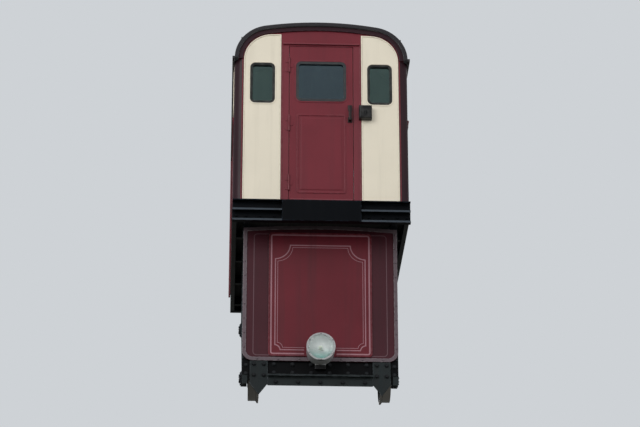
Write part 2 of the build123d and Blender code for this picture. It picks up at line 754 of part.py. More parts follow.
def end_wall_blank():
    """A whole end wall under the roof, before it is divided into panels."""
    return along_y(arch_face(ROOF_THICKNESS, FLOOR), CABIN_FRONT, CABIN_FRONT + WALL)


def end_panels():
    """The flat panels either side of each doorway, with a window in each."""
    wall = end_wall_blank()
    low = block(HALF_SURROUND, FLAT_END, CABIN_FRONT, CABIN_FRONT + WALL, FLOOR, EAVES)
    high = block(HALF_SURROUND, HALF_CABIN, CABIN_FRONT, CABIN_FRONT + WALL, EAVES, EAVES + LONG)
    panel = (wall & low) + (wall & high)
    panel -= end_hole(CABIN_FRONT - WALL, CABIN_FRONT + 2 * WALL, 0)
    return both_ends(both_sides(panel))


def hinge_part(side, low, high):
    """A hinge's barrel with its strap and neck, on the post (side is -1) or on the door (side is 1)."""
    bottom, top = FLOOR + low, FLOOR + high
    place = Pos(HINGE_X, HINGE_Y, (bottom + top) / 2)
    part = place * Cylinder(HINGE_RADIUS, top - bottom)
    ends = sorted((HINGE_X, HINGE_X + side * HINGE_STRAP))
    part += block(*ends, CABIN_FRONT - HINGE_STRAP_THICKNESS, CABIN_FRONT, bottom, top)
    ends = sorted((HINGE_X, HINGE_X + side * (HINGE_RADIUS - HINGE_NECK)))
    part += block(*ends, HINGE_Y, CABIN_FRONT, bottom, top)
    return part


def door_posts():
    """The upright sides of each doorway, the left one with its share of the hinges."""
    y1 = CABIN_FRONT + WALL
    right = block(HALF_DOORWAY, HALF_SURROUND, CABIN_FRONT, y1, FLOOR, DOORWAY_TOP)
    left = block(-HALF_SURROUND, -HALF_DOORWAY, CABIN_FRONT, y1, FLOOR, DOORWAY_TOP)
    for height in HINGE_HEIGHTS:
        for side in SIDES:
            near = height + side * (KNUCKLE_LENGTH / 2 + KNUCKLE_GAP)
            far = near + side * KNUCKLE_LENGTH
            left += hinge_part(-1, min(near, far), max(near, far))
    return both_ends([right, left])


def door_headers():
    """The wall over each doorway, up to the roof."""
    wall = end_wall_blank()
    room = block(
        -HALF_SURROUND, HALF_SURROUND, CABIN_FRONT, CABIN_FRONT + WALL, DOORWAY_TOP, EAVES + LONG,
    )
    return both_ends([wall & room])


def door_leaf():
    """A hinged door with its window cut and the door's share of the hinges."""
    half = HALF_DOORWAY - DOOR_GAP
    y1 = CABIN_FRONT + DOOR_THICKNESS
    leaf = block(-half, half, CABIN_FRONT, y1, FLOOR + DOOR_BOTTOM_GAP, DOORWAY_TOP - DOOR_GAP)
    leaf -= door_hole(CABIN_FRONT - WALL, y1 + WALL, 0)
    for height in HINGE_HEIGHTS:
        leaf += hinge_part(1, height - KNUCKLE_LENGTH / 2, height + KNUCKLE_LENGTH / 2)
    return leaf


def gasket(hole, y0, y1):
    """A rubber ring in a window hole; hole(y0, y1, shrink) makes the hole's solid."""
    ring = hole(y0 - GASKET_PROUD, y1 + GASKET_PROUD, 0)
    return ring - hole(y0 - 2 * GASKET_PROUD, y1 + 2 * GASKET_PROUD, GASKET_WIDTH)


def pane(hole, y0, y1):
    """A sheet of glass in the middle of a gasket."""
    middle = (y0 + y1) / 2
    return hole(middle - GLASS_THICKNESS / 2, middle + GLASS_THICKNESS / 2, GASKET_WIDTH)


def end_hole(y0, y1, shrink):
    """The right-hand downhill end window, as a solid from y0 to y1."""
    return window_hole(
        END_WINDOW_CENTRE, END_WINDOW_WIDTH, WINDOW_BOTTOM, WINDOW_HEIGHT, y0, y1, shrink,
    )


def door_hole(y0, y1, shrink):
    """The downhill door's window, as a solid from y0 to y1."""
    return window_hole(
        0, DOOR_WINDOW_WIDTH, DOOR_WINDOW_BOTTOM, DOOR_WINDOW_HEIGHT, y0, y1, shrink,
    )


def fixed_windows(make):
    """Applies gasket or pane to every window that doesn't open."""
    pieces = both_ends(both_sides(make(end_hole, CABIN_FRONT, CABIN_FRONT + WALL)))
    for place in side_window_places():
        def side_hole(x0, x1, shrink, place=place):
            return side_window_hole(place, x0, x1, shrink)
        pieces += both_sides(make(side_hole, HALF_CABIN - WALL, HALF_CABIN))
    return pieces


def door_handle():
    """A pull handle on two feet, near the door's free edge."""
    depth, width, height = HANDLE_SIZE
    x = HALF_DOORWAY - DOOR_GAP - HANDLE_INSET / 2
    x0, x1 = x - width / 2, x + width / 2
    y0 = CABIN_FRONT - HANDLE_REACH
    z = FLOOR + HANDLE_HEIGHT
    grip = block(x0, x1, y0, y0 + depth, z, z + height)
    for foot in (z, z + height - width):
        grip += block(x0, x1, y0, CABIN_FRONT, foot, foot + width)
    return grip


def lock_boxes():
    """The black lock case beside each doorway, on the side that the door opens."""
    width, depth, height = LOCK_SIZE
    x = HALF_SURROUND + LOCK_OFFSET
    z = FLOOR + LOCK_HEIGHT
    case = block(
        x - width / 2, x + width / 2, CABIN_FRONT - depth, CABIN_FRONT,
        z - height / 2, z + height / 2,
    )
    case = chamfer(case.faces().sort_by(Axis.Y)[0].edges(), LOCK_BEVEL)
    return both_ends([case])


def roof():
    """The arched roof shell, standing on the side walls and over both end walls."""
    band = arch_face(0, EAVES) - arch_face(ROOF_THICKNESS, EAVES)
    return [along_y(band, CABIN_FRONT - ROOF_OVERHANG, CABIN_BACK + ROOF_OVERHANG)]


def roof_rims():
    """A band under the roof's edge at each end, following the arch."""
    outer = arch_face(ROOF_THICKNESS, EAVES)
    band = outer - arch_face(ROOF_THICKNESS + RIM_BAND, EAVES)
    return both_ends([along_y(band, CABIN_FRONT - RIM_BAND_THICKNESS, CABIN_FRONT)])


def gutters():
    """A rain gutter along each side at the foot of the roof."""
    y0, y1 = CABIN_FRONT - ROOF_OVERHANG, CABIN_BACK + ROOF_OVERHANG
    x1 = HALF_CABIN + GUTTER_WIDTH
    low = EAVES - GUTTER_HEIGHT / 2
    rail = block(HALF_CABIN, x1, y0, y1, low, low + GUTTER_HEIGHT)
    rail -= block(
        HALF_CABIN + GUTTER_METAL, x1 - GUTTER_METAL, y0 + GUTTER_METAL, y1 - GUTTER_METAL,
        low + GUTTER_METAL, low + 2 * GUTTER_HEIGHT,
    )
    return both_sides(rail)


def bench_span():
    """Where the benches start and end along Y."""
    return CABIN_FRONT + WALL + BENCH_END_GAP, CABIN_BACK - WALL - BENCH_END_GAP


def bench_seats():
    """A long seat along each side wall, on legs."""
    wall_x = HALF_CABIN - WALL
    y0, y1 = bench_span()
    front = wall_x - BENCH_DEPTH
    top = FLOOR + BENCH_HEIGHT
    bench = block(front, wall_x, y0, y1, top - BENCH_BOARD, top)
    step = (y1 - y0 - BENCH_LEG) / (BENCH_LEG_COUNT - 1)
    for number in range(BENCH_LEG_COUNT):
        place = y0 + number * step
        leg_front = front + BENCH_LEG_SETBACK
        bench += block(leg_front, wall_x, place, place + BENCH_LEG, FLOOR, top - BENCH_BOARD)
    return both_sides(bench)


def bench_backs():
    """A back board on each side wall above the seat."""
    wall_x = HALF_CABIN - WALL
    y0, y1 = bench_span()
    low = FLOOR + BACK_BOTTOM
    return both_sides(block(wall_x - BACK_THICKNESS, wall_x, y0, y1, low, low + BACK_HEIGHT))


def inside_roof():
    """The room under the roof shell, as a tool for cutting poles to length."""
    return along_y(arch_face(ROOF_THICKNESS, FLOOR), CABIN_FRONT, CABIN_BACK)


def grab_poles():
    """Upright poles from the floor to the ceiling."""
    room = inside_roof()
    poles = []
    for side in SIDES:
        place = Pos(POLE_OFFSET, CABIN_MID + side * POLE_PITCH / 2, FLOOR + LONG / 2)
        poles += both_sides((place * Cylinder(POLE_RADIUS, LONG)) & room)
    return poles


def ceiling_lights():
    """Round lights on the ceiling's centre line."""
    room = inside_roof()
    bottom = room.bounding_box().max.Z - LIGHT_DEPTH
    lights = []
    for side in SIDES:
        place = Pos(0, CABIN_MID + side * LIGHT_PITCH / 2, bottom + LIGHT_DEPTH)
        lights.append((place * Cylinder(LIGHT_RADIUS, 2 * LIGHT_DEPTH)) & room)
    return lights


def door_body(at_end):
    """The four nodes of one door; at_end moves them from the downhill doorway to where they belong."""
    y0, y1 = CABIN_FRONT, CABIN_FRONT + DOOR_THICKNESS
    return {
        "leaf": [at_end(door_leaf())],
        "gasket": [at_end(gasket(door_hole, y0, y1))],
        "glass": [at_end(pane(door_hole, y0, y1))],
        "handle": [at_end(door_handle())],
    }


def build():
    """All nodes by name, each a list of solids."""
    nodes = {
        "sole_bars": sole_bars(),
        "wedge_posts": wedge_posts(),
        "wedge_braces": wedge_braces(),
        "cross_ties": cross_ties(),
        "lower_headstock": lower_headstock(),
        "axleboxes": axleboxes(),
        "axlebox_guides": axlebox_guides(),
        "track_brakes": track_brakes(),
        "draw_beam": draw_beam(),
        "rope_clevises": rope_clevises(),
        "front_panel": front_panel(),
        "panel_rim": panel_rim(),
        "sign_board": sign_board(),
        "headlamp_shell": headlamp_shell(),
        "headlamp_lens": headlamp_lens(),
        "guard_irons": guard_irons(),
        "guard_bar": guard_bar(),
        "platform_longitudinals": platform_longitudinals(),
        "cross_bearers": cross_bearers(),
        "side_rails": side_rails(),
        "end_sills": end_sills(),
        "floor_deck": floor_deck(),
        "side_lower_panels": side_lower_panels(),
        "side_window_panels": side_window_panels(),
        "corner_posts": corner_posts(),
        "end_panels": end_panels(),
        "door_posts": door_posts(),
        "door_headers": door_headers(),
        "window_gaskets": fixed_windows(gasket),
        "window_glass": fixed_windows(pane),
        "lock_boxes": lock_boxes(),
        "roof": roof(),
        "roof_rims": roof_rims(),
        "gutters": gutters(),
        "bench_seats": bench_seats(),
        "bench_backs": bench_backs(),
        "grab_poles": grab_poles(),
        "ceiling_lights": ceiling_lights(),
    }
    for end, at_end in (("front", lambda shape: shape), ("rear", turned_to_back)):
        for piece, solids in door_body(at_end).items():
            nodes[f"{end}_door_{piece}"] = solids
    for level, along in zip(("lower", "upper"), axle_places()):
        nodes[f"{level}_axle"] = on_axle([axle()], along)
        nodes[f"{level}_wheels"] = on_axle(both_sides(wheel()), along)
    return nodes


def main():
    """Writes one STEP file for each node."""
    os.makedirs("parts", exist_ok=True)
    for name, shapes in build().items():
        solids = [solid for shape in shapes for solid in shape.solids()]
        export_step(Compound(children=solids), f"parts/{name}.step")


main()
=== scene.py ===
"""Looks of the funicular car: finishes, fittings and studio. Metres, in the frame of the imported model."""

import json
import logging
import math
from collections.abc import Callable, Iterator, Sequence
from contextlib import contextmanager
from dataclasses import dataclass, field
from enum import Enum

import bmesh
import bpy
from bpy.types import Material, Node, NodeSocket, NodeTree, Object
from mathutils import Euler, Matrix, Vector

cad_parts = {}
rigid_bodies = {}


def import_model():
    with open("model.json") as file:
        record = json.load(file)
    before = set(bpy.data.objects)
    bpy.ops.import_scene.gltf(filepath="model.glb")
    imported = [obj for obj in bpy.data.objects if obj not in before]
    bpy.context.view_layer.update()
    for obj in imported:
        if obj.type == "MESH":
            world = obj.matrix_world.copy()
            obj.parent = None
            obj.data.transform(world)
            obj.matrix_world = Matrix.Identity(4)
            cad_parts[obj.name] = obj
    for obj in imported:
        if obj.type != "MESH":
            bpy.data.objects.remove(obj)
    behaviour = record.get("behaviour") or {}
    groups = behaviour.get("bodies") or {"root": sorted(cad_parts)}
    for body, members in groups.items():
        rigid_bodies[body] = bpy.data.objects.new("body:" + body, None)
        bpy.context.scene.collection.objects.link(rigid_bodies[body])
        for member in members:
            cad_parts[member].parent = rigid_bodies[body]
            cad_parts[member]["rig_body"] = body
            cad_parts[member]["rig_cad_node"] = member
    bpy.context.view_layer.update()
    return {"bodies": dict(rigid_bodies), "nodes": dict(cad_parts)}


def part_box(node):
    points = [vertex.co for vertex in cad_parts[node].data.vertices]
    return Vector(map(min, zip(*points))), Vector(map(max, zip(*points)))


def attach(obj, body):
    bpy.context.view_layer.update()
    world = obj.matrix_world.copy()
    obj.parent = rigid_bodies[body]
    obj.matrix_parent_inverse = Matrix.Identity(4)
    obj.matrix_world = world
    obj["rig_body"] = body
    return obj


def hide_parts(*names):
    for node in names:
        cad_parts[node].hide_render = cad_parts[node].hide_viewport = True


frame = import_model()
log = logging.getLogger("car")

Span = tuple[float, float]
Point = tuple[float, float, float]
Colour = tuple[float, float, float, float]

SHARP = math.radians(30)
DOWNHILL: Point = (0, -1, 0)
RIGHT: Point = (1, 0, 0)
LEFT: Point = (-1, 0, 0)
UP: Point = (0, 0, 1)
DOWN: Point = (0, 0, -1)
MIRROR = Matrix.Scale(-1, 4, RIGHT)
AT_ORIGIN = Matrix.Identity(4)


class Corner(Enum):
    """How a frame's corners are cut, by the bevel profile that gives it."""

    ROUND = 0.5
    SCALLOP = 0.09


def srgb(red: int, green: int, blue: int) -> Colour:
    """Turns a colour written in 0 to 255 into the linear one that shaders take.

    Args:
        red: Red as a screen shows it.
        green: Green, the same way.
        blue: Blue, the same way.

    Returns:
        The linear colour with full alpha.
    """
    def linear(value: int) -> float:
        """One channel."""
        share = value / 255
        return share / 12.92 if share <= 0.04045 else ((share + 0.055) / 1.055) ** 2.4
    return linear(red), linear(green), linear(blue), 1.0


def toned(colour: Colour, factor: float) -> Colour:
    """A colour made darker or lighter."""
    return tuple(min(1.0, part * factor) for part in colour[:3]) + (1.0,)


# Spans and places


def mid(span: Span) -> float:
    """The middle of a span."""
    return sum(span) / 2


def around(middle: float, half: float) -> Span:
    """A span that reaches as far either side of its middle."""
    return middle - half, middle + half


def grown(span: Span, by: float) -> Span:
    """A span made longer at both ends, or shorter where that is negative."""
    return span[0] - by, span[1] + by


def spread(span: Span, count: int) -> list[float]:
    """Evenly spaced values over a span, both ends among them."""
    step = (span[1] - span[0]) / (count - 1)
    return [span[0] + step * number for number in range(count)]


def moved(x: float, y: float, z: float) -> Matrix:
    """A plain move."""
    return Matrix.Translation((x, y, z))


def facing(point: Sequence[float], direction: Sequence[float]) -> Matrix:
    """A place at a point, its Z along a direction."""
    turn = Vector(UP).rotation_difference(Vector(direction)).to_matrix().to_4x4()
    return Matrix.Translation(Vector(point)) @ turn


def ring(centre: Point, radius: float, count: int, direction: Point, start: float = 0.0) -> list[Matrix]:
    """Places evenly round an upright circle.

    Args:
        centre: The circle's middle.
        radius: Its radius.
        count: How many places.
        direction: Where the circle and each place look, along X or Y.
        start: The first one's angle over the level.

    Returns:
        The places.
    """
    x, y, z = centre
    places = []
    for number in range(count):
        angle = start + math.tau * number / count
        across, up = radius * math.cos(angle), radius * math.sin(angle)
        point = (x, y + across, z + up) if direction[0] else (x + across, y, z + up)
        places.append(facing(point, direction))
    return places


# Modelling by operators


def deselect() -> None:
    """Leaves nothing selected."""
    bpy.ops.object.select_all(action="DESELECT")


def only(piece: Object) -> None:
    """Selects one piece alone and makes it active.

    Args:
        piece: The piece.
    """
    deselect()
    piece.select_set(True)
    bpy.context.view_layer.objects.active = piece


@contextmanager
def editing(piece: Object, everything: bool = False) -> Iterator[None]:
    """Edit mode on one piece.

    Args:
        piece: The piece to edit.
        everything: Whether to select all of it, rather than nothing.

    Yields:
        Nothing, in edit mode.
    """
    only(piece)
    bpy.ops.object.mode_set(mode="EDIT")
    bpy.ops.mesh.select_mode(type="FACE")
    bpy.ops.mesh.select_all(action="SELECT" if everything else "DESELECT")
    yield
    bpy.ops.object.mode_set(mode="OBJECT")


def pick(piece: Object, kind: str, test: Callable[[object], bool]) -> None:
    """In edit mode, selects the elements that pass a test and no others.

    Args:
        piece: The piece in edit mode.
        kind: FACE, EDGE or VERT.
        test: Takes one element.
    """
    bpy.ops.mesh.select_mode(type=kind)
    bpy.ops.mesh.select_all(action="DESELECT")
    mesh = bmesh.from_edit_mesh(piece.data)
    elements = {"FACE": mesh.faces, "EDGE": mesh.edges, "VERT": mesh.verts}[kind]
    for element in [each for each in elements if test(each)]:
        element.select_set(True)
    if kind == "VERT":
        mesh.select_flush(True)
    bmesh.update_edit_mesh(piece.data)


def pick_faces(piece: Object, test: Callable[[Vector, Vector], bool]) -> None:
    """In edit mode, selects the faces whose middle and normal pass a test."""
    pick(piece, "FACE", lambda face: test(face.calc_center_median(), face.normal))


def pick_edges(piece: Object, test: Callable[[Vector, Vector], bool]) -> None:
    """In edit mode, selects the edges whose two ends pass a test."""
    pick(piece, "EDGE", lambda edge: test(edge.verts[0].co, edge.verts[1].co))


def pick_points(piece: Object, test: Callable[[Vector], bool]) -> None:
    """In edit mode, selects the vertices whose place passes a test."""
    pick(piece, "VERT", lambda vertex: test(vertex.co))


def looking(direction: Point) -> Callable[[Vector, Vector], bool]:
    """A test for faces that look along a direction."""
    return lambda middle, normal: normal.dot(Vector(direction)) > 0.9


def extrude(x: float, y: float, z: float) -> None:
    """In edit mode, draws the selection out by a move."""
    bpy.ops.mesh.extrude_region_move(TRANSFORM_OT_translate={"value": (x, y, z)})


def round_corners(size: float, segments: int = 8, style: Corner = Corner.ROUND) -> None:
    """In edit mode, cuts the corners of the selection."""
    bpy.ops.mesh.bevel(offset=size, segments=segments, affect="VERTICES", profile=style.value)


def leave_rim(width: float) -> None:
    """In edit mode, leaves a rim of the selected face."""
    bpy.ops.mesh.inset(thickness=width, depth=0)
    bpy.ops.mesh.delete(type="FACE")


def finish_with(piece: Object, kind: str, **settings: object) -> None:
    """Adds a modifier and applies it.

    Args:
        piece: The piece to change.
        kind: The modifier's type.
        settings: Its settings by name.
    """
    only(piece)
    modifier = piece.modifiers.new(kind, kind)
    for name, value in settings.items():
        setattr(modifier, name, value)
    bpy.ops.object.modifier_apply(modifier=modifier.name)


def thicken(piece: Object, thickness: float, offset: float = 1) -> None:
    """Gives a sheet its thickness: on its face, or with offset -1 behind it."""
    finish_with(piece, "SOLIDIFY", thickness=thickness, offset=offset)


def cut(piece: Object, cutter: Object) -> None:
    """Takes a cutter's shape out of a piece; the cutter goes."""
    finish_with(piece, "BOOLEAN", operation="DIFFERENCE", object=cutter, solver="EXACT")
    bpy.data.objects.remove(cutter)


def face_outwards(piece: Object) -> None:
    """Merges doubles and turns every face outwards.

    Args:
        piece: The piece.
    """
    with editing(piece, everything=True):
        bpy.ops.mesh.remove_doubles(threshold=1e-6)
        bpy.ops.mesh.normals_make_consistent(inside=False)


def smooth(piece: Object, sharp: bool = True) -> None:
    """Shades a piece smooth.

    Args:
        piece: The piece.
        sharp: Whether its sharp edges stay sharp.
    """
    only(piece)
    if sharp:
        bpy.ops.object.shade_smooth_by_angle(angle=SHARP)
    else:
        bpy.ops.object.shade_smooth()


def mark_edges(piece: Object) -> None:
    """Marks worn edges in an attribute: the faces that a bevel gave the second material index.

    Args:
        piece: The bevelled piece.
    """
    mesh = piece.data
    marks = mesh.attributes.get("edge") or mesh.attributes.new("edge", "FLOAT", "FACE")
    marks.data.foreach_set("value", [float(face.material_index == 1) for face in mesh.polygons])
    mesh.polygons.foreach_set("material_index", [0] * len(mesh.polygons))


def ease(piece: Object, width: float, segments: int = 2) -> Object:
    """Rounds a piece's sharp edges and shades it smooth between them.

    Args:
        piece: The piece.
        width: The bevel's width.
        segments: Faces across the bevel.

    Returns:
        The same piece.
    """
    while len(piece.data.materials) < 2:
        piece.data.materials.append(None)
    finish_with(
        piece, "BEVEL", width=width, segments=segments, limit_method="ANGLE", angle_limit=SHARP,
        material=1, harden_normals=False, use_clamp_overlap=True,
    )
    mark_edges(piece)
    smooth(piece)
    return piece


def named(name: str) -> Object:
    """Names the primitive that was just added, and moves its place, turn and scale into its mesh.

    Args:
        name: The piece's name.

    Returns:
        The piece.
    """
    piece = bpy.context.active_object
    piece.name = piece.data.name = name
    only(piece)
    bpy.ops.object.transform_apply(location=True, rotation=True, scale=True)
    return piece


def block(name: str, x: Span, y: Span, z: Span) -> Object:
    """A cube primitive at its size and place.

    Args:
        name: The piece's name.
        x: Where it starts and ends across the car.
        y: The same along the car.
        z: The same in height.

    Returns:
        The piece, to be shaped further.
    """
    deselect()
    bpy.ops.mesh.primitive_cube_add(
        size=1, location=[mid(side) for side in (x, y, z)], scale=[side[1] - side[0] for side in (x, y, z)],
    )
    return named(name)


def sheet_facing(name: str, x: Span, y: float, z: Span) -> Object:
    """A plane primitive that faces downhill.

    Args:
        name: The piece's name.
        x: Where it starts and ends across the car.
        y: The plane's place along the car.
        z: Where it starts and ends in height.

    Returns:
        The piece, to be shaped further.
    """
    deselect()
    bpy.ops.mesh.primitive_plane_add(size=1, location=(mid(x), y, mid(z)), rotation=(math.pi / 2, 0, 0))
    bpy.context.active_object.scale = (x[1] - x[0], z[1] - z[0], 1)
    return named(name)


def disc(name: str, radius: float, depth: float, place: Matrix, sides: int = 24) -> Object:
    """A cylinder primitive that starts at a place and runs along its Z.

    Args:
        name: The piece's name.
        radius: The cylinder's radius.
        depth: Its length.
        place: Where its foot is and which way it points.
        sides: Faces round it.

    Returns:
        The piece, to be shaped further.
    """
    deselect()
    bpy.ops.mesh.primitive_cylinder_add(vertices=sides, radius=radius, depth=depth)
    piece = named(name)
    piece.data.transform(place @ moved(0, 0, depth / 2))
    return piece


def ball(name: str, radius: float, segments: int, rings: int) -> Object:
    """A sphere primitive on the origin.

    Args:
        name: The piece's name.
        radius: The sphere's radius.
        segments: Faces round it.
        rings: Faces from pole to pole.

    Returns:
        The piece, to be shaped further.
    """
    deselect()
    bpy.ops.mesh.primitive_uv_sphere_add(segments=segments, ring_count=rings, radius=radius)
    return named(name)


@dataclass(frozen=True)
class Strip:
    """A flat strip that frames a panel or a window: its section and its corners."""

    width: float
    proud: float
    corner: float
    top: float | None = None
    style: Corner = Corner.ROUND

    def lay(self, name: str, x: Span, y: float, z: Span) -> Object:
        """Lays the strip on a surface that faces downhill.

        Args:
            name: The piece's name.
            x: Its outer sides.
            y: The surface that it stands on.
            z: Its foot and top.

        Returns:
            The frame.
        """
        piece = sheet_facing(name, x, y, z)
        with editing(piece):
            pick_points(piece, lambda place: place.z < mid(z))
            round_corners(self.corner, style=self.style)
            pick_points(piece, lambda place: place.z > mid(z))
            round_corners(self.corner if self.top is None else self.top, style=self.style)
            bpy.ops.mesh.select_all(action="SELECT")
            leave_rim(self.width)
        thicken(piece, self.proud)
        return piece


def copy_of(piece: Object, name: str, place: Matrix) -> Object:
    """A copy with its own mesh, moved by a matrix.

    Args:
        piece: What to copy.
        name: The copy's name.
        place: The move, turn or mirror image.

    Returns:
        The copy.
    """
    made = piece.copy()
    made.data = piece.data.copy()
    made.name = made.data.name = name
    made.data.transform(place)
    if place.determinant() < 0:
        made.data.flip_normals()
    bpy.context.scene.collection.objects.link(made)
    return made


def mirrored(*pieces: Object) -> list[Object]:
    """Right-hand pieces and their mirror images."""
    return [*pieces, *(copy_of(piece, f"left_{piece.name}", MIRROR) for piece in pieces)]


def join(name: str, pieces: Sequence[Object]) -> Object:
    """Joins pieces into one.

    Args:
        name: The joined piece's name.
        pieces: The pieces, the first of which stays.

    Returns:
        The joined piece.
    """
    only(pieces[0])
    for piece in pieces:
        piece.select_set(True)
    if len(pieces) > 1:
        bpy.ops.object.join()
    pieces[0].name = pieces[0].data.name = name
    return pieces[0]


def repeat(name: str, pattern: Object, places: Sequence[Matrix]) -> Object:
    """Copies a pattern to each place and joins the copies; the pattern itself goes.

    Args:
        name: The joined piece's name.
        pattern: What is repeated.
        places: Where each copy goes.

    Returns:
        The joined piece.
    """
    copies = [copy_of(pattern, f"{name}_{number}", place) for number, place in enumerate(places)]
    bpy.data.objects.remove(pattern)
    return join(name, copies)


# Sizes read from the frame


@dataclass(frozen=True)
class Box:
    """A CAD node's box."""

    x: Span
    y: Span
    z: Span

    @classmethod
    def of(cls, node: str) -> "Box":
        """Reads a node's box from the frame."""
        low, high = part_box(node)
        return cls(*((low[side], high[side]) for side in range(3)))


def box_of(node: str) -> Box:
    """A dataclass field that reads a node's box from the frame."""
    return field(default_factory=lambda: Box.of(node))


@dataclass(frozen=True)
class Layout:
    """Places that the fittings are worked out from."""

    panel: Box = box_of("front_panel")
    board: Box = box_of("sign_board")
    lamp: Box = box_of("headlamp_shell")
    lens: Box = box_of("headlamp_lens")
    headstock: Box = box_of("lower_headstock")
    irons: Box = box_of("guard_irons")
    guard: Box = box_of("guard_bar")
    sills: Box = box_of("end_sills")
    deck: Box = box_of("floor_deck")
    posts: Box = box_of("door_posts")
    header: Box = box_of("door_headers")
    low_sides: Box = box_of("side_lower_panels")
    high_sides: Box = box_of("side_window_panels")
    leaf: Box = box_of("front_door_leaf")
    leaf_glass: Box = box_of("front_door_glass")
    handle: Box = box_of("front_door_handle")
    locks: Box = box_of("lock_boxes")
    roof: Box = box_of("roof")
    gutters: Box = box_of("gutters")
    panes: Box = box_of("window_glass")
    seats: Box = box_of("bench_seats")
    backs: Box = box_of("bench_backs")
    poles: Box = box_of("grab_poles")
    lights: Box = box_of("ceiling_lights")
    soles: Box = box_of("sole_bars")
    wedge: Box = box_of("wedge_posts")
    beams: Box = box_of("platform_longitudinals")
    lower_axle: Box = box_of("lower_axle")
    upper_axle: Box = box_of("upper_axle")
    axleboxes: Box = box_of("axleboxes")
    corner: float = 0.110
    shoulder: float = 0.430
    end_window_width: float = 0.290
    window_height: float = 0.521
    window_drop: float = 0.049
    window_corner: float = 0.062

    @property
    def face(self) -> float:
        """The downhill cabin end's outer face."""
        return self.deck.y[0]

    @property
    def wall(self) -> float:
        """The right-hand wall's outer face."""
        return self.high_sides.x[1]

    @property
    def floor(self) -> float:
        """The cabin floor's height."""
        return self.deck.z[1]

    @property
    def middle(self) -> float:
        """Half way along the cabin."""
        return mid(self.deck.y)

    @property
    def flat_end(self) -> float:
        """Where an end's flat part stops and the corner post starts."""
        return self.wall - self.corner

    @property
    def end_window(self) -> float:
        """The right-hand end window's middle across the car."""
        return (self.posts.x[1] + self.flat_end) / 2

    @property
    def window_z(self) -> Span:
        """The foot and top of the windows in the walls."""
        top = self.high_sides.z[1] - self.window_drop
        return top - self.window_height, top

    @property
    def turned(self) -> Matrix:
        """Half a turn about the cabin's upright middle line, which takes one end to the other."""
        return moved(0, 2 * self.middle, 0) @ Matrix.Rotation(math.pi, 4, "Z")

    @property
    def slope(self) -> float:
        """The angle of the rails, from the two axles."""
        low, high = self.lower_axle, self.upper_axle
        return math.atan2(sum(high.z) - sum(low.z), sum(high.y) - sum(low.y))


# Finishes


class Graph:
    """A node tree under construction."""

    def __init__(self, tree: NodeTree) -> None:
        """Starts on a tree."""
        self.tree = tree

    def add(self, kind: str, **settings: object) -> Node:
        """Adds a node.

        Args:
            kind: The node's type after "ShaderNode".
            settings: Its settings by name.

        Returns:
            The node.
        """
        node = self.tree.nodes.new(f"ShaderNode{kind}")
        for name, value in settings.items():
            setattr(node, name, value)
        return node

    def feed(self, socket: NodeSocket, value: object) -> None:
        """Links a socket, or sets its value.

        Args:
            socket: The input.
            value: An output to link, or a plain value.
        """
        if isinstance(value, NodeSocket):
            self.tree.links.new(value, socket)
        else:
            socket.default_value = value

    def fill(self, node: Node, values: dict[str | int, object]) -> Node:
        """Feeds a node's inputs.

        Args:
            node: The node.
            values: What each input takes, by its name or number.

        Returns:
            The same node.
        """
        for name, value in values.items():
            self.feed(node.inputs[name], value)
        return node

    def maths(self, operation: str, first: object, second: object = 0.0) -> NodeSocket:
        """A Math node's result."""
        return self.fill(self.add("Math", operation=operation), {0: first, 1: second}).outputs[0]

    def plus(self, first: object, second: object) -> NodeSocket:
        """Two values added."""
        return self.maths("ADD", first, second)

    def minus(self, first: object, second: object) -> NodeSocket:
        """One value less another."""
        return self.maths("SUBTRACT", first, second)

    def times(self, first: object, second: object) -> NodeSocket:
        """Two values multiplied."""
        return self.maths("MULTIPLY", first, second)

    def between(self, value: object, low: float, high: float) -> NodeSocket:
        """A value from low to high as 0 to 1, clamped."""
        node = self.add("MapRange", clamp=True)
        return self.fill(node, {"Value": value, "From Min": low, "From Max": high}).outputs[0]

    def blend(self, share: object, first: object, second: object) -> NodeSocket:
        """Mixes two colours."""
        node = self.add("Mix", data_type="RGBA")
        return self.fill(node, {"Factor": share, 6: first, 7: second}).outputs[2]

    def either(self, share: object, first: Node, second: Node) -> NodeSocket:
        """Mixes two shaders."""
        node = self.add("MixShader")
        return self.fill(node, {"Fac": share, 1: first.outputs[0], 2: second.outputs[0]}).outputs[0]

    def place(self, scale: Point = (1, 1, 1)) -> NodeSocket:
        """Object coordinates, stretched.

        Args:
            scale: How much, along each axis.

        Returns:
            The coordinates.
        """
        mapping = self.add("Mapping")
        coordinates = self.add("TexCoord").outputs["Object"]
        return self.fill(mapping, {"Vector": coordinates, "Scale": scale}).outputs[0]

    def noise(self, vector: object, scale: float, detail: float = 3.0) -> NodeSocket:
        """Noise from 0 to 1."""
        node = self.add("TexNoise")
        return self.fill(node, {"Vector": vector, "Scale": scale, "Detail": detail}).outputs["Fac"]

    def patches(self, vector: object, scale: float, detail: float, span: Span) -> NodeSocket:
        """Noise spread out so that a span of it runs from 0 to 1."""
        return self.between(self.noise(vector, scale, detail), *span)

    def split(self, vector: object) -> tuple[NodeSocket, ...]:
        """A vector's three parts."""
        return tuple(self.fill(self.add("SeparateXYZ"), {0: vector}).outputs)


